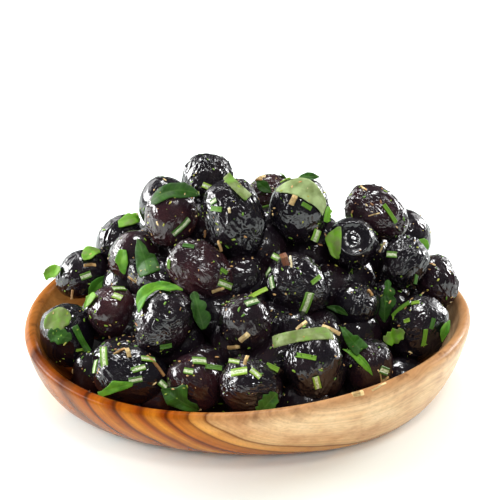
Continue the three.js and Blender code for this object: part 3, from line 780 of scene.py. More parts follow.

# The inside of the heap is olives too, which nobody sees: one dull dark body stands for them. Its
# near-black colour is painted shade for the gaps between the olives.
CORE_DEPTH = 20
CORE_RADIUS = 58
CORE_LEAST = 2
CORE_FOOT = 0.72
CORE_FOOT_GAP = 0.5
core_shade_material, tree = new_material("dark_olive_flesh")
# Near-black: painted shade where the gaps between the olives show.
core_shade_surface = add_node(tree, "BsdfPrincipled", {"Base Color": linear("#060506"), "Roughness": 0.9})
add_node(tree, "OutputMaterial", {"Surface": core_shade_surface})
deselect()
bpy.ops.mesh.primitive_uv_sphere_add(segments=40, ring_count=24, radius=CORE_RADIUS * MM)
core = bpy.context.object
for vertex in core.data.vertices:
    place = vertex.co / MM
    if place.z > 0:
        height = heap_height(place.x, place.y) - CORE_DEPTH
        place.z = max(FLOOR_THICK + CORE_LEAST, height)
    else:
        place = Vector((place.x * CORE_FOOT, place.y * CORE_FOOT, FLOOR_THICK + CORE_FOOT_GAP))
    vertex.co = place * MM
core = join("heap_core", [core])
core.data.materials.append(core_shade_material)
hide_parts("olives")

# ---------------------------------------------------------------- chopped parsley
# Flat-leaf parsley, chopped by hand into lobes, triangles and ribbons that cling to the
# oil on the olives. Each piece is a thin soft sheet with cut or toothed edges.
LEAF_THICKNESS = 0.25
LEAF_GAP = 0.5
LEAF_WAVE = 0.35
WAVE_ALONG = 0.9
WAVE_ACROSS = 0.7
LEAF_CLIMB = 5
LEAF_LEAST = 0.25
LEAF_DRAW_IN = 0.1
LEAF_SHIFTS = (0, 1.5, -1.5, 3, -3)
LEAF_SHIFT_COST = 0.3
DRAWN_IN_COST = 2
# Where a leaf is tried, in shares of its length and of its width, and how near an olive is
# for it to matter.
TRIED_ALONG = (-0.5, -0.25, 0, 0.25, 0.5)
TRIED_ACROSS = (-0.4, 0, 0.4)
OLIVE_NEAR = 6
LEAF_ROWS = 26
LEAF_COLUMNS = 10
CREPE_WIDTH = 2.6
CREPE_HEIGHT = 0.3
CREPE_APART = 3.7
# How far a place between olives is drawn in at a time: a share from the front, and
# millimetres from above.
FRONT_STEP = 0.04
ABOVE_STEP = 1
# Outlines of the pieces: share of the length from the base, then how far the left and
# the right edge stand from the midrib there, in half widths.
BLADES = {
    "fold": ((0, 0.1, 0.95), (0.2, 0.5, 1), (0.42, 1, 0.9), (0.56, 1, 0.95), (0.6, 0.85, 0.9),
             (0.8, 0.9, 0.75), (1, 0.5, 0.5)),
    "patch": ((0, 0.3, 0.7), (0.08, 0.35, 1), (0.15, 0.7, 0.75), (0.4, 0.95, 0.8), (0.5, 1, 1),
              (0.75, 0.95, 0.85), (1, 0.35, 0.3)),
    "band": ((0, 0.2, 0.3), (0.1, 0.7, 0.75), (0.25, 0.9, 0.8), (0.45, 1, 0.75), (0.6, 0.9, 1),
             (0.75, 0.95, 0.85), (0.9, 0.6, 0.5), (1, 0.15, 0.1)),
    "lens": ((0, 0.1, 0.1), (0.25, 0.75, 0.6), (0.5, 1, 0.95), (0.75, 0.75, 0.7), (1, 0.1, 0.1)),
    "arch": ((0, 0.15, 0.2), (0.1, 0.5, 0.5), (0.28, 0.85, 0.75), (0.5, 1, 0.95),
             (0.65, 0.9, 1), (0.8, 0.75, 0.8), (0.95, 0.62, 0.7), (1, 0.3, 0.7)),
    "teeth": ((0, 0.5, 0.3), (0.18, 0.6, 1), (0.24, 0.6, 0.55), (0.45, 0.6, 1), (0.52, 0.6, 0.6),
              (0.75, 0.6, 0.95), (0.82, 0.5, 0.5), (1, 0.3, 0.2)),
    "shard": ((0, -0.5, 0.9), (0.06, 0, 1), (0.1, 0.15, 0.85), (0.16, 0.3, 1), (0.4, 0.75, 1),
              (0.6, 1.1, 0.95), (0.8, 0.6, 0.92), (1, -0.45, 0.8)),
    "wedge": ((0, 0.9, 0.95), (0.1, 1, 1), (0.3, 0.95, 0.95), (0.48, 0.8, 0.9), (0.52, 0.78, 0.5),
              (0.75, 0.5, 0.4), (1, 0.04, 0.04)),
    "tongue": ((0, -0.5, 0.8), (0.1, 0, 0.85), (0.35, 0.5, 0.95), (0.5, 1, 1), (0.72, 0.85, 0.8),
               (0.9, 0.7, 0.6), (1, 0.45, 0.4)),
    "sickle": ((0, 0.5, 1.0), (0.1, 0.9, 1), (0.25, 0.8, 0.6), (0.5, 0.5, 0.45), (0.65, 0.5, 0.6),
               (0.72, 0.45, 0.75), (0.88, 0.3, 0.35), (1, 0.05, 0.1)),
    "lobes": ((0, 0.2, 0.2), (0.12, 0.45, 0.7), (0.25, 0.6, 1), (0.38, 0.65, 0.95),
              (0.46, 0.6, 0.62), (0.56, 0.62, 0.9), (0.68, 0.6, 0.8), (0.76, 0.4, 0.3),
              (0.86, 0.5, 0.45), (0.95, 0.4, 0.35), (1, 0.1, 0.1)),
    "fan": ((0, 0.1, 0.1), (0.12, 0.55, 0.3), (0.28, 0.85, 0.8), (0.4, 0.92, 0.85),
            (0.45, 0.95, 1), (0.58, 1, 0.95), (0.64, 1, 0.8), (0.78, 0.95, 0.85),
            (0.9, 0.75, 0.6), (1, 0.3, 0.3)),
    "crescent": ((0, 0.05, 0.05), (0.25, 0.8, 0.35), (0.5, 1, 0.5), (0.75, 0.6, 0.5),
                 (1, 0.08, 0.08)),
    "trefoil": ((0, 0.1, 0.15), (0.1, 0.3, 0.45), (0.25, 0.55, 0.35), (0.36, 0.65, 0.4),
                (0.45, 0.7, 1.1), (0.55, 0.75, 1.35), (0.63, 0.8, 1.25), (0.7, 0.85, 0.8),
                (0.85, 0.5, 0.45), (1, 0.05, 0.05)),
    "gable": ((0, 0.1, 0.3), (0.12, 0.1, 0.85), (0.16, 0.2, 0.7), (0.3, 0.5, 0.75),
              (0.48, 1.15, 0.65), (0.65, 0.8, 0.6), (0.85, 0.45, 0.5), (0.97, 0.3, 0.4),
              (1, 0.1, 0.1)),
    "ragged": ((0, 0.3, 0.2), (0.1, 0.8, 0.5), (0.2, 0.6, 0.9), (0.35, 0.95, 0.7),
               (0.5, 0.75, 1), (0.65, 1, 0.75), (0.8, 0.55, 0.85), (0.9, 0.7, 0.4),
               (1, 0.2, 0.2)),
    "ribbon": ((0, 0.9, 1), (0.04, 1, 1), (0.5, 0.94, 1), (0.96, 1, 0.92), (1, 0.85, 1)),
}
# Olive it lies on, place across and up from that olive's middle as seen from the front,
# length, width, turn to the right of upright, radius of its natural curl; then its
# outline, how far its midrib bows, how sharply it is folded along the midrib, and how
# light its green is: partly the side that shows, partly painted light and shade.
LEAVES = [
    (13, -10.5, 1, 7, 5, 70, 30, "patch", 0, 0.2, 0.72),
    (2, -13.5, 0.5, 8.5, 5, 78, 20, "fold", 0, 0.35, 0.7),
    (2, 1.5, 7.5, 17, 6, 80, 10, "band", 2.5, 0, 0.22),
    (4, -2, 3, 7, 4.5, -50, 16, "lens", 0, 0.3, 0.2),
    (5, 1, 5.4, 18, 7.4, 112, 11, "arch", 3.6, 0, 0.95),
    (5, 3, 12, 8, 3.5, 80, 12, "lens", 0.6, 0.3, 0.3),
    (5, 9.4, -2, 5.5, 3.5, 10, 12, "teeth", 0, 0, 0.7),
    (8, -7, 0, 11, 5.5, 5, 12, "shard", 0, 0.12, 0.75),
    (9, 8.5, 7, 6, 5, 30, 14, "patch", 0, 0.3, 0.65),
    (12, 6, -2.5, 13.5, 8, -20, 14, "wedge", 0, -0.25, 0.25),
    (12, -4, -2.5, 8.5, 5, 10, 12, "tongue", 0, 0.3, 0.6),
    (18, -2, 10.5, 16, 6, 72, 9, "sickle", 3.8, 0.2, 0.6),
    (13, 6, -4.5, 10, 4.5, 40, 12, "lens", 0, 0.45, 0.5),
    (18, 13.5, 5, 13, 7, -15, 18, "lobes", 0, 0.1, 0.2),
    (20, -2.5, 5, 10, 8, 60, 11, "fan", 0, 0, 0.82),
    (26, -6.5, 10.5, 11, 5.5, -40, 20, "wedge", 0, 0.15, 0.28),
    (26, -6.5, 2, 13, 3.6, -48, 12, "crescent", -1.5, 0.3, 0.62),
    (21, -13, 8.6, 10.5, 5.5, 0, 16, "lobes", 0, 0.3, 0.3),
    (21, -9, -3, 7.5, 5.5, 60, 12, "ragged", 0, 0.3, 0.74),
    (24, -5, -6, 14, 8, -60, 16, "trefoil", 0, 0, 0.25),
    (23, -4.5, -3.8, 12, 4.5, 75, 14, "gable", 0, 0.15, 0.6),
    (25, 5.5, -5.5, 8.5, 6, 40, 12, "ragged", 0, 0.1, 0.27),
    (21, 8.5, -1, 8, 3.5, 20, 12, "lens", 0.6, 0.3, 0.55),
]
# Ribbons cut from the broadest leaves and the flat stalks, in the same terms.
STRIPS = [
    (3, 0.5, 10.5, 11, 3.2, -44, 14, "ribbon", 0.3, 0, 0.85),
    (20, 6, -1.5, 10.5, 2.2, -28, 14, "ribbon", 0.2, 0.2, 0.35),
    (22, -3.5, 8, 19.5, 4, 82, 12, "ribbon", 1.0, 0, 0.85),
]
# Scraps that the oil has plastered onto the olives, in the same terms.
WET_LEAVES = [
    (20, -1.4, -0.4, 8.5, 6, 100, 12, "ragged", 0, 0.05, 0.28),
    (16, -6.5, -1.4, 8, 2.6, 112, 12, "lens", 0.6, 0.2, 0.15),
    (21, -11.3, 4, 10, 5.4, 0, 14, "lens", 0, 0.25, 0.15),
    (17, -10, 5, 6.5, 3.4, 50, 12, "tongue", 0, 0.2, 0.75),
]
# Parsley on the sides and back of the heap: degrees round from the right and distance out
# from the middle, then the same terms from the length on.
FAR_LEAVES = [
    (40, 40, 12, 7, 20, 13, "wedge", 0, 0.15, 0.3),
    (72, 58, 11, 6, 70, 13, "lobes", 0, 0.15, 0.6),
    (92, 34, 13, 6.5, 120, 13, "arch", 0, 0.15, 0.8),
    (118, 52, 12, 7, 40, 13, "trefoil", 0, 0.15, 0.2),
    (146, 36, 11, 6, 100, 13, "ragged", 0, 0.15, 0.5),
    (163, 60, 10, 6, 10, 13, "fan", 0, 0.15, 0.7),
]


def within(olive, gap, one, other):
    """Dot product measured in the half width and half length of an olive grown by a gap."""
    across = 1 / (olive.width / 2 + gap) ** 2
    along = 1 / (olive.length / 2 + gap) ** 2 - across
    return one.dot(other) * across + one.dot(olive.axis) * other.dot(olive.axis) * along


def leaving(olive, start, direction, gap=0):
    """Distance along a line from a start to where it last leaves an olive grown by a gap,
    or None where it misses."""
    start = start - olive.middle
    a = within(olive, gap, direction, direction)
    b = within(olive, gap, start, direction)
    c = within(olive, gap, start, start) - 1
    inside = b * b - a * c
    return (-b + math.sqrt(inside)) / a if inside > 0 else None


def skin_along(start, direction):
    """Where a line from a start last leaves the olives, or None where it misses them all."""
    reaches = [leaving(olive, start, direction) for olive in olives]
    reaches = [reach for reach in reaches if reach is not None]
    return start + direction * max(reaches) if reaches else None


def olive_seat(index, across, up):
    """A place across and up from an olive's middle as seen from the front."""
    return olives[index].middle + RIGHT * across + UP * up


def level_place(angle, distance):
    """A place on the table, at an angle round from the right and a distance out."""
    return Vector((distance * math.cos(angle), distance * math.sin(angle), 0))


def skin_from_front(index, across, up):
    """The skin seen from the front at a place across and up from an olive's middle, on
    whichever olive lies nearest the eye there. A place between olives is drawn in."""
    share = 1
    while True:
        place = skin_along(olive_seat(index, across * share, up * share), TOWARD)
        if place is not None:
            return place
        share -= FRONT_STEP


def skin_from_above(degrees, distance):
    """The skin seen from straight above, at a direction round and a distance out."""
    while True:
        place = skin_along(level_place(math.radians(degrees), distance), ABOVE)
        if place is not None:
            return place
        distance -= ABOVE_STEP


def square_to(normal, way):
    """The direction square to a normal that is nearest to a way."""
    return (way - normal * way.dot(normal)).normalized()


def seen_way(turn):
    """A direction that, seen from the front, is turned to the right of upright."""
    turned = math.radians(turn)
    return RIGHT * math.sin(turned) + UP * math.cos(turned)


def sheet_ways(facing, turn):
    """Directions along and across a sheet that faces one way and is turned on it."""
    along = square_to(facing, seen_way(turn))
    return along, along.cross(facing)


def sheet_point(near, middle, facing, ways, s, t, curl):
    """A point of a soft sheet, s along it and t to its side, with what it costs to lay it
    there. It bends by its own curl, is lifted over what it lies on, and draws in where an
    olive stands in its way."""
    along, side = ways
    wave = LEAF_WAVE * math.sin(s * WAVE_ALONG + t * WAVE_ACROSS)
    pull = 1
    while True:
        flat = middle + along * (s * pull) + side * (t * pull)
        height = LEAF_GAP + wave - pull * pull * (s * s + t * t) / (2 * curl)
        for olive in near:
            top = leaving(olive, flat, facing, LEAF_GAP)
            if top is not None:
                height = max(height, top)
        if height < LEAF_CLIMB or pull < LEAF_LEAST:
            return flat + facing * height, 1 - pull + max(0, height - LEAF_CLIMB)
        pull -= LEAF_DRAW_IN


def best_middle(middle, facing, length, width, turn, curl):
    """The place for a leaf's middle, a little to one side if it is drawn in less there."""
    ways = sheet_ways(facing, turn)
    near = []
    for olive in olives:
        if (olive.middle - middle).length < length / 2 + olive.length / 2 + OLIVE_NEAR:
            near.append(olive)
    best, best_cost = None, math.inf
    for across in LEAF_SHIFTS:
        for up in LEAF_SHIFTS:
            shifted = middle + RIGHT * across + UP * up
            cost = LEAF_SHIFT_COST * math.hypot(across, up)
            for s in TRIED_ALONG:
                for t in TRIED_ACROSS:
                    tried = (s * length, t * width)
                    drawn_in = sheet_point(near, shifted, facing, ways, *tried, curl)[1]
                    cost += DRAWN_IN_COST * drawn_in
            if cost < best_cost:
                best, best_cost = shifted, cost
    return best, near


def edges(blade, share):
    """How far a blade's left and right edges stand from its midrib, in half widths."""
    for (start, left, right), (end, next_left, next_right) in zip(blade, blade[1:]):
        if share <= end:
            part = (share - start) / (end - start)
            return left + (next_left - left) * part, right + (next_right - right) * part
    return blade[-1][1:]


def lay_leaf(name, node, middle, facing, length, width, turn, curl, outline, bow, fold, light):
    """A piece of leaf draped over the olives, in place of a node."""
    middle, near = best_middle(middle, facing, length, width, turn, curl)
    ways = sheet_ways(facing, turn)
    deselect()
    bpy.ops.mesh.primitive_grid_add(
        x_subdivisions=LEAF_COLUMNS, y_subdivisions=LEAF_ROWS, size=2
    )
    leaf = bpy.context.object
    flat = []
    for vertex in leaf.data.vertices:
        share = (vertex.co.y + 1) / 2
        left, right = edges(BLADES[outline], share)
        middle_line = bow * ((2 * share - 1) ** 2 - 1 / 3)
        aside = ((left + right) / 2 * vertex.co.x + (right - left) / 2) * width / 2
        s = (share - 0.5) * length
        t = middle_line + aside
        flat.append((s, aside))
        place, _ = sheet_point(near, middle, facing, ways, s, t, curl)
        crepe = noise.noise(Vector((s, t, CREPE_APART * light + length)) / CREPE_WIDTH)
        rise = CREPE_HEIGHT * (crepe + 0.5) + fold * abs(aside)
        vertex.co = (place + facing * rise) * MM
    uv = leaf.data.uv_layers[0]
    for loop in leaf.data.loops:
        uv.data[loop.index].uv = flat[loop.vertex_index]
    finish_modifier(leaf, "SOLIDIFY", thickness=LEAF_THICKNESS * MM, offset=1)
    # Each piece's lightness: partly which side shows, partly painted light and shade.
    set_attribute(leaf, "light", [light] * len(leaf.data.vertices))
    smooth(leaf)
    leaf = join(name, [leaf])
    leaf.data.materials.append(parsley)
    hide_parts(node)


# Fresh parsley: soft, a little waxy, dark above and pale below, with side veins running
# out from the midrib every 1.6 mm. Thin enough to glow when the light is behind it.
# How light each piece is comes partly from the side that shows and partly is painted light and
# shade.
VEIN_STEP = 1.6
VEIN_SLANT = 0.7
parsley, tree = new_material("fresh_parsley_leaf")
light = add_node(tree, "Attribute", attribute_name="light").outputs["Fac"]
coords = add_node(tree, "TexCoord").outputs["Object"]
mottle = add_node(tree, "TexNoise", {"Vector": coords, "Scale": 1 / (3.5 * MM)})
mottle_share = add_node(
    tree,
    "MapRange",
    {"Value": mottle, "From Min": 0.3, "From Max": 0.7, "To Min": -0.1, "To Max": 0.1},
)
lightness = add_node(tree, "Math", {0: light, 1: mottle_share}, operation="ADD")
leaf_stops = [
    (0.0, "#1b3512"), (0.25, "#2e5519"), (0.5, "#478324"),
    (0.7, "#74ab2b"), (0.85, "#7b8950"), (1.0, "#a8bb80"),
]
leaf_tone = add_node(tree, "ValToRGB", {"Fac": lightness}, leaf_stops)
leaf_uv = add_node(tree, "UVMap", uv_map="UVMap")
leaf_axes = add_node(tree, "SeparateXYZ", {0: leaf_uv}).outputs
from_rib = add_node(tree, "Math", {0: leaf_axes["Y"]}, operation="ABSOLUTE")
slanted = add_node(
    tree, "Math", {0: from_rib, 1: -VEIN_SLANT, 2: leaf_axes["X"]}, operation="MULTIPLY_ADD"
)
vein_count = add_node(tree, "Math", {0: slanted, 1: math.pi / VEIN_STEP}, operation="MULTIPLY")
vein_wave = add_node(tree, "Math", {0: vein_count}, operation="SINE")
vein_near = add_node(tree, "Math", {0: vein_wave}, operation="ABSOLUTE")
side_vein = add_node(tree, "MapRange", {"Value": vein_near, "From Min": 0.25, "From Max": 0.0})
midrib = add_node(tree, "MapRange", {"Value": from_rib, "From Min": 0.35, "From Max": 0.1})
veins = add_node(tree, "Math", {0: side_vein, 1: midrib}, operation="MAXIMUM")
vein_share = add_node(tree, "Math", {0: veins, 1: 0.07}, operation="MULTIPLY")
veined = add_node(
    tree, "Mix", {"Factor": vein_share, 6: leaf_tone, 7: linear("#a9cf7a")}, data_type="RGBA"
)
leaf_bump = add_node(tree, "Bump", {"Height": veins, "Strength": 0.3, "Distance": -0.1 * MM})
leaf_skin = add_node(
    tree,
    "BsdfPrincipled",
    {"Base Color": veined.outputs[2], "Roughness": 0.52, "IOR": 1.42, "Normal": leaf_bump},
)
glow = add_node(tree, "BsdfTranslucent", {"Color": veined.outputs[2]})
leaf_mix = add_node(tree, "MixShader", {"Fac": 0.3, 1: leaf_skin, 2: glow})
add_node(tree, "OutputMaterial", {"Surface": leaf_mix})

for name, node, rows in (
    ("chopped_leaf", "parsley_leaf_{}", LEAVES),
    ("cut_ribbon", "parsley_strip_{}", STRIPS),
    ("wet_leaf", "olives", WET_LEAVES),
):
    for number, (index, across, up, *rest) in enumerate(rows, 1):
        place = skin_from_front(index, across, up)
        lay_leaf(f"{name}_{number}", node.format(number), place, TOWARD, *rest)
for number, (degrees, distance, *rest) in enumerate(FAR_LEAVES, 1):
    place = skin_from_above(degrees, distance)
    lay_leaf(f"far_leaf_{number}", f"parsley_far_{number}", place, ABOVE, *rest)

# ---------------------------------------------------------------- cut rosemary
# Rosemary needles cut across with a knife, leathery and rolled in at their edges. Narrow
# ones show the green upper side, broad ones the pale felted underside between the edges.
# Olive it lies on, place across and up from that olive's middle as seen from the front,
# length, width, turn to the right of upright.
ROSEMARY = [
    (2, 4, -4.3, 8, 2.2, 45), (0, 1.5, -4, 6.5, 2, 115), (3, -7.5, 5.5, 2.6, 2, 60),
    (3, -6.5, 2.8, 4.5, 1.8, 100), (9, -5.4, 2.5, 3.6, 2.2, 95), (5, 4.5, -9, 4.2, 3.8, 20),
    (15, -7, 8.5, 4, 2.4, 120), (19, 3.5, 8.8, 9, 1.7, 60), (19, 2, 6.8, 5, 2.6, 72),
    (6, 4.3, -0.7, 8, 1.5, -35), (21, -6.5, 6.5, 8, 1.6, 50), (21, 1, -3.3, 6, 1.7, 8),
    (21, 3.8, 1.5, 3.8, 1.5, 15), (21, -1.5, 8.5, 2.8, 1.6, 80), (21, -4.7, 2.5, 2.2, 1.4, 70),
    (9, 2.2, -5.8, 3.4, 1.8, 10), (23, -8, 6, 7.2, 2.8, -5), (23, -11.5, 3, 4.5, 2.4, 10),
    (23, 3, 2.4, 4.6, 2, 75), (23, 6, 5.4, 5, 2.2, 100), (23, 2, -1.2, 4.5, 2, 80),
    (24, 1.4, 6.6, 4.6, 3, 95), (24, 5.5, 4.2, 6.5, 1.8, 97), (24, -2, 3.4, 3.2, 2, 100),
    (25, -3.6, 4.6, 5.5, 2.6, 80), (25, 1.6, 4, 4, 2, 130), (25, -5.4, 7, 3.5, 2, 100),
    (25, 7, 5.5, 4.4, 1.8, 115), (26, 4.5, -1.5, 3.6, 2.8, 110), (23, 10.5, -3.3, 3, 2.4, 130),
    (13, 2.2, -0.8, 4, 2.4, 70), (17, 2.5, 7.8, 4.5, 2.8, 90), (17, 2.2, 5, 3.4, 2.6, 110),
    (14, -10.5, 2, 3.2, 1.5, 5), (14, -4, 8, 4, 1.6, 100), (14, 8, -0.5, 2.8, 1.5, 120),
    (14, 8.5, -5, 6, 2.4, 110), (18, 1, -8, 4, 1.8, 80), (15, 6.2, 1.4, 4.5, 1.6, 50),
    (15, 3, -6.5, 8, 3.2, 20), (15, -9.5, 4, 3.5, 2, 30), (15, -8.5, 0.5, 4.4, 2.2, -10),
    (5, 2, 0.5, 3.8, 1.6, 120), (22, 1, -7, 4.6, 2.2, -15), (22, -2.5, 1.4, 7, 1.6, 100),
    (20, 5.4, -5, 3.3, 1, 80),
]
BROAD_NEEDLE = 2
# Height of a broad and of a narrow needle, and reach of the felt, in half widths, and how
# yellow the green of the yellowest is.
BROAD_HEIGHT = 0.8
NARROW_HEIGHT = 1.3
FELT_REACH = 0.4
YELLOWEST = 0.75
# More of them are strewn over the sides and back, by a rule.
FAR_BITS = 14
FAR_REACH = (12, 68)
FAR_LENGTH = (3.5, 7.5)
FAR_WIDTH = (1.5, 2.5)
FAR_MARGIN = 0.05
# Section of a needle in half widths, over the rolled edges and the groove between them.
NEEDLE_SECTION = [
    (-1, 0.15), (-0.85, 0.42), (-0.55, 0.38), (-0.35, 0.2), (0, 0.3), (0.35, 0.2),
    (0.55, 0.38), (0.85, 0.42), (1, 0.15), (0.7, -0.1), (-0.7, -0.1),
]
NEEDLE_STEPS = 4
TOP_FACE = 0.9
BIT_TOUCHES = (-0.35, 0, 0.35)
BIT_BEND = 18
CROOKED_WIDTH = 1.7
RAY_START = 300
FOOD_NAMES = ("olives_", "heap_core", "chopped_leaf", "cut_ribbon", "wet_leaf", "far_leaf")
BIT_GAP = 0.15
MOST_LIFT = 1.2


def skin_tree(piece):
    """What a ray needs to find a finished piece, in millimetres."""
    places = [vertex.co / MM for vertex in piece.data.vertices]
    faces = [tuple(polygon.vertices) for polygon in piece.data.polygons]
    return BVHTree.FromPolygons(places, faces)


def first_hit(seat, toward):
    """Where a ray from outside first meets the food, and the outward direction there."""
    best, best_distance = None, math.inf
    for tree in skin_trees:
        point, outward, _, distance = tree.ray_cast(seat + toward * RAY_START, -toward)
        if point is not None and distance < best_distance:
            best, best_distance = (point, outward), distance
    return best


def lie_down(seat, toward, seen_along, length):
    """How a short stiff bit lies on the food at a seat, seen from one side: its middle and
    its directions along, sideways and outward. It bridges the hollows under it."""
    seats = [seat + seen_along * (length * share) for share in BIT_TOUCHES]
    hits = [first_hit(place, toward) for place in seats]
    if None in hits:
        return None
    outward = sum((hit[1] for hit in hits), Vector()).normalized()
    along = hits[2][0] - hits[0][0]
    if along.length > length:
        along = seen_along
    along = along.normalized()
    outward = square_to(along, outward)
    middle = hits[1][0]
    lift = max((hit[0] - middle).dot(outward) for hit in hits)
    middle += outward * min(lift + BIT_GAP, MOST_LIFT)
    return middle, along, along.cross(outward), outward


def shape_bit(pattern, name, lie, length, half_width, half_height, rotten=0.0):
    """A copy of a pattern bit, 2 wide and 1 long about its own axes, laid on the food. It
    bends with what it lies on, and rotten makes it crooked."""
    middle, along, side, outward = lie
    bit = copy_of(pattern, name)
    for vertex in bit.data.vertices:
        x, y, z = vertex.co
        run = z * length
        crooked = noise.noise_vector((middle + along * run) / CROOKED_WIDTH) * rotten
        place = middle + along * run + side * (x * half_width) + outward * (y * half_height)
        vertex.co = (place - outward * (run * run / (2 * BIT_BEND)) + crooked) * MM
    return bit


def finish_bits(name, bits, material):
    """Joins small bits into one piece that clings to the olives."""
    piece = join(name, bits)
    piece.data.materials.append(material)
    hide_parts("olives")


def between(draw, least_and_most):
    """A number drawn from a least to a most."""
    least, most = least_and_most
    return least + (most - least) * draw()


def level_way(turned):
    """A level direction, turned from straight back to the right."""
    return Vector((math.sin(turned), math.cos(turned), 0))


def make_stick(name, sides, steps):
    """A pattern stick along Z, from -0.5 to 0.5, drawn out in steps from its lower end."""
    deselect()
    bpy.ops.mesh.primitive_cylinder_add(
        vertices=sides, radius=1, depth=1 / steps, location=(0, 0, 0), end_fill_type="NGON"
    )
    stick = bpy.context.object
    stick.name = name
    for vertex in stick.data.vertices:
        vertex.co.z += 0.5 / steps - 0.5
    for polygon in stick.data.polygons:
        polygon.select = polygon.normal.z > TOP_FACE
    bpy.ops.object.mode_set(mode="EDIT")
    bpy.ops.mesh.select_mode(type="FACE")
    for _ in range(steps - 1):
        bpy.ops.mesh.extrude_region_move(TRANSFORM_OT_translate={"value": (0, 0, 1 / steps)})
    bpy.ops.object.mode_set(mode="OBJECT")
    return stick


def lay_needle(lie, length, width, tone):
    """A needle on the food, pale along its middle where it is broad."""
    broad = width >= BROAD_NEEDLE
    half_height = width / 2 * (BROAD_HEIGHT if broad else NARROW_HEIGHT)
    needle = shape_bit(needle_pattern, "needle", lie, length, width / 2, half_height)
    pale = []
    for vertex in needle_pattern.data.vertices:
        felted = broad and abs(vertex.co.x) < FELT_REACH and vertex.co.y > 0
        pale.append(float(felted))
    set_attribute(needle, "pale", pale)
    set_attribute(needle, "tone", [tone] * len(pale))
    return needle


skin_pieces = [thing for thing in bpy.data.objects if thing.name.startswith(FOOD_NAMES)]
skin_trees = [skin_tree(piece) for piece in skin_pieces]
needle_pattern = make_stick("needle_pattern", len(NEEDLE_SECTION), NEEDLE_STEPS)
for vertex in needle_pattern.data.vertices:
    turned = math.atan2(vertex.co.y, vertex.co.x) % (2 * math.pi)
    corner = round(turned / (2 * math.pi) * len(NEEDLE_SECTION)) % len(NEEDLE_SECTION)
    vertex.co.x, vertex.co.y = NEEDLE_SECTION[corner]

draw = draws(53)
needles = []
for index, across, up, length, width, turn in ROSEMARY:
    lie = lie_down(olive_seat(index, across, up), TOWARD, seen_way(turn), length)
    if lie:
        needles.append(lay_needle(lie, length, width, YELLOWEST * draw()))
far_draw = draws(29)
for number in range(FAR_BITS):
    angle = math.pi * between(far_draw, (FAR_MARGIN, 1 - FAR_MARGIN))
    seat = level_place(angle, between(far_draw, FAR_REACH))
    length = between(far_draw, FAR_LENGTH)
    width = between(far_draw, FAR_WIDTH)
    lie = lie_down(seat, ABOVE, level_way(math.pi * far_draw()), length)
    if lie:
        needles.append(lay_needle(lie, length, width, YELLOWEST * draw()))

# Fresh rosemary: leathery and slightly shiny green, with grey-green felt underneath.
rosemary_leaf, tree = new_material("cut_rosemary_needle")
pale = add_node(tree, "Attribute", attribute_name="pale").outputs["Fac"]
tone = add_node(tree, "Attribute", attribute_name="tone").outputs["Fac"]
green_stops = [(0.0, "#335c1a"), (0.4, "#5f8826"), (0.75, "#84a335"), (1.0, "#b0a54a")]
green = add_node(tree, "ValToRGB", {"Fac": tone}, green_stops)
coords = add_node(tree, "TexCoord").outputs["Object"]
felt = add_node(tree, "TexNoise", {"Vector": coords, "Scale": 1 / (0.5 * MM)})
felt_stops = [(0.35, "#7f8f60"), (0.5, "#b4bf98"), (0.65, "#d6dcc2")]
felt_tone = add_node(tree, "ValToRGB", {"Fac": felt}, felt_stops)
needle_tone = add_node(tree, "Mix", {"Factor": pale, 6: green, 7: felt_tone}, data_type="RGBA")
needle_bump = add_node(tree, "Bump", {"Height": felt, "Strength": 0.5, "Distance": 0.08 * MM})
needle_skin = add_node(
    tree,
    "BsdfPrincipled",
    {
        "Base Color": needle_tone.outputs[2],
        "Roughness": 0.42,
        "IOR": 1.45,
        "Normal": needle_bump,
    },
)
add_node(tree, "OutputMaterial", {"Surface": needle_skin})
finish_bits("rosemary_needles", needles, rosemary_leaf)
bpy.data.objects.remove(needle_pattern)

# ---------------------------------------------------------------- dried stalks
# Bits of dried herb stalk, split and snapped, straw-coloured inside and brown outside,
# in the same terms as the rosemary. The last value is how light its straw is.
STALKS = [
    (5, -2.5, 2.8, 4.4, 2.2, 25, 0.7), (3, -4.5, -9.5, 4, 1.3, -15, 0.6),
    (13, 3.5, 3, 4.5, 1.3, 85, 0.5), (15, -4.5, 8, 4.6, 2.6, -20, 0.0),
    (14, 6, -6.6, 4.4, 1.3, 70, 0.7), (19, -0.5, -4.7, 4, 2, 50, 0.8),
    (19, -4.3, -7.5, 4, 1.4, 80, 0.6), (23, 8.5, 3.5, 9, 1.3, -40, 0.35),
    (22, 6, 10, 6.4, 1.6, -65, 0.75), (22, -3.5, 11.2, 4.4, 1.6, 50, 0.8),
    (16, 5, 4.5, 3, 1.3, -30, 0.5), (25, -1.4, 8, 3.6, 1.3, 15, 0.7),
    (26, 5, -4.5, 3, 1.4, 60, 0.6), (23, -1, 7.6, 3.2, 1.6, -15, 0.8),
    (13, -2.9, -7.2, 4.4, 1, 5, 0.5), (15, -2.2, 7.6, 4.8, 0.8, -5, 1.0),
    (15, 6.9, 7.2, 6.2, 0.8, -50, 1.0), (23, -3.6, 8, 4.4, 1, 65, 0.5),
    (17, -0.4, -9, 4.6, 0.6, -15, 0.3), (9, -7.2, 6.2, 5, 0.9, 30, 0.8),
    (6, -1.4, -1, 4.5, 0.5, 75, 0.7), (12, 1, -8.7, 5, 0.8, -55, 0.6),
    (26, 3.3, -3.3, 6, 0.5, -20, 0.7), (3, -2.2, 2.2, 2, 1, 0, 0.9),
]
# On the inner edge of the bowl's rim: across and forward of the axis, length, width,
# turn, and how light.
RIM_STALKS = [(35, -70, 3.6, 1.9, 70, 0.7), (42, -66, 6, 0.7, 50, 0.8)]
FAR_STALKS = 16
FAR_STALK_REACH = (12, 67)
FAR_STALK_LENGTH = (2.5, 6.5)
FAR_STALK_WIDTH = (0.6, 1.8)
STALK_SIDES = 6
STALK_STEPS = 3
STALK_FLATNESS = 0.35
STALK_CROOKED = 0.35
STALK_STREAKS = 0.25


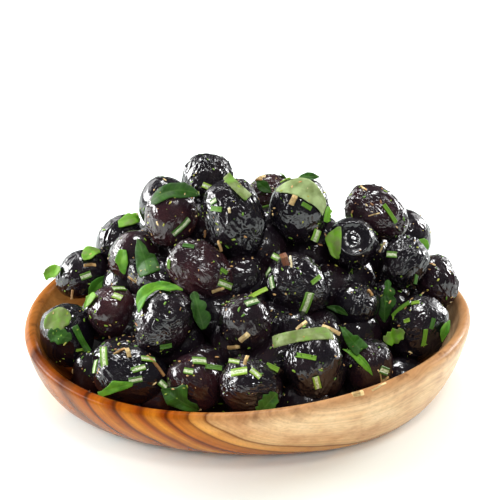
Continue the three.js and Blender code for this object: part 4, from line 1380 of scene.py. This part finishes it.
def lay_stalk(lie, length, width, tone):
    """A stalk on the food, crooked and flattened."""
    half_height = width * STALK_FLATNESS
    stalk = shape_bit(
        stalk_pattern, "stalk", lie, length, width / 2, half_height, rotten=STALK_CROOKED
    )
    count = len(stalk.data.vertices)
    set_attribute(stalk, "tone", [tone + STALK_STREAKS * (draw() - 0.5) for _ in range(count)])
    return stalk


stalk_pattern = make_stick("stalk_pattern", STALK_SIDES, STALK_STEPS)
stalks = []
for index, across, up, length, width, turn, tone in STALKS:
    lie = lie_down(olive_seat(index, across, up), TOWARD, seen_way(turn), length)
    if lie:
        stalks.append(lay_stalk(lie, length, width, tone))
for number in range(FAR_STALKS):
    angle = math.pi * draw()
    seat = level_place(angle, between(draw, FAR_STALK_REACH))
    way = level_way(math.pi * draw())
    length = between(draw, FAR_STALK_LENGTH)
    width = between(draw, FAR_STALK_WIDTH)
    lie = lie_down(seat, ABOVE, way, length)
    if lie:
        stalks.append(lay_stalk(lie, length, width, draw()))
skin_trees.append(skin_tree(bowl))
for x, y, length, width, turn, tone in RIM_STALKS:
    lie = lie_down(Vector((x, y, 0)), ABOVE, level_way(math.radians(turn)), length)
    stalks.append(lay_stalk(lie, length, width, tone))
skin_trees.pop()

# Dry stalk: dull and fibrous, brown bark over straw.
dry_stalk, tree = new_material("dried_herb_stalk")
tone = add_node(tree, "Attribute", attribute_name="tone").outputs["Fac"]
stalk_stops = [(0.0, "#7a4a33"), (0.45, "#b98d56"), (0.8, "#d9bf86"), (1.0, "#ece0b8")]
stalk_tone = add_node(tree, "ValToRGB", {"Fac": tone}, stalk_stops)
coords = add_node(tree, "TexCoord").outputs["Object"]
fibres = add_node(tree, "TexNoise", {"Vector": coords, "Scale": 1 / (0.4 * MM)})
stalk_bump = add_node(tree, "Bump", {"Height": fibres, "Strength": 0.6, "Distance": 0.1 * MM})
stalk_skin = add_node(
    tree, "BsdfPrincipled", {"Base Color": stalk_tone, "Roughness": 0.6, "Normal": stalk_bump}
)
add_node(tree, "OutputMaterial", {"Surface": stalk_skin})
finish_bits("dried_stalks", stalks, dry_stalk)
bpy.data.objects.remove(stalk_pattern)

# ---------------------------------------------------------------- herb crumbs
# What is left on the board after chopping: green and straw crumbs, a quarter to nearly one
# millimetre wide and up to three times as long, held by the oil in patches all over.
CRUMB_SIZE = (0.25, 0.8)
CRUMB_LONGEST = 3.0
CRUMB_SEAT = 0.2
CRUMB_FLATNESS = 0.3
CRUMB_CROOKED = 0.25
CLUMP_WIDTH = 9
CLUMP_SPREAD = 0.5
# Middle and size of the plane that the rays start from, and degrees that they rise.
CRUMB_MIDDLE = Vector((0, 0, 35))
CRUMB_ACROSS = 150
CRUMB_UP = 100
CRUMB_RISE = (20, 85)
# name, material, attribute values from and to, how many in front and all round, slot
CRUMBS = [
    ("green_crumbs", rosemary_leaf, (0.15, 1.0), 330, 240, "parsley"),
    ("straw_crumbs", dry_stalk, (0.15, 0.9), 170, 130, "parsley_stalk"),
]


def crumb_ray(around):
    """A seat on a plane across a view of the heap, and the way towards the eye."""
    if around:
        azimuth = 2 * math.pi * draw()
        elevation = math.radians(between(draw, CRUMB_RISE))
        toward = level_place(azimuth, math.cos(elevation)) + ABOVE * math.sin(elevation)
    else:
        toward = TOWARD
    side = ABOVE.cross(toward).normalized()
    up = toward.cross(side)
    seat = CRUMB_MIDDLE + side * (CRUMB_ACROSS * (draw() - 0.5))
    return seat + up * (CRUMB_UP * (draw() - 0.5)), toward


def strew_crumbs(name, count, around, tones):
    """Crumbs that cling where rays meet the heap, closer together in some patches."""
    crumbs = []
    while len(crumbs) < count:
        hit = first_hit(*crumb_ray(around))
        keep = draw()
        if hit is None or noise.noise(hit[0] / CLUMP_WIDTH) < CLUMP_SPREAD * (keep - 0.5):
            continue
        point, outward = hit
        along = square_to(outward, seen_way(360 * draw()))
        small = CRUMB_SIZE[0] + (CRUMB_SIZE[1] - CRUMB_SIZE[0]) * draw() ** 2
        middle = point + outward * (CRUMB_SEAT * small)
        lie = (middle, along, along.cross(outward), outward)
        length = small * between(draw, (1, CRUMB_LONGEST))
        half_height = small * CRUMB_FLATNESS
        crumb = shape_bit(
            crumb_pattern, name, lie, length, small / 2, half_height, rotten=CRUMB_CROOKED
        )
        set_attribute(crumb, "tone", [between(draw, tones)] * len(crumb.data.vertices))
        crumbs.append(crumb)
    return crumbs


deselect()
bpy.ops.mesh.primitive_ico_sphere_add(subdivisions=1, radius=1)
crumb_pattern = bpy.context.object
for vertex in crumb_pattern.data.vertices:
    vertex.co.z /= 2
for name, material, tones, front, round_about, slot in CRUMBS:
    crumbs = strew_crumbs(name, front, False, tones)
    crumbs += strew_crumbs(name, round_about, True, tones)
    finish_bits(name, crumbs, material)
bpy.data.objects.remove(crumb_pattern)
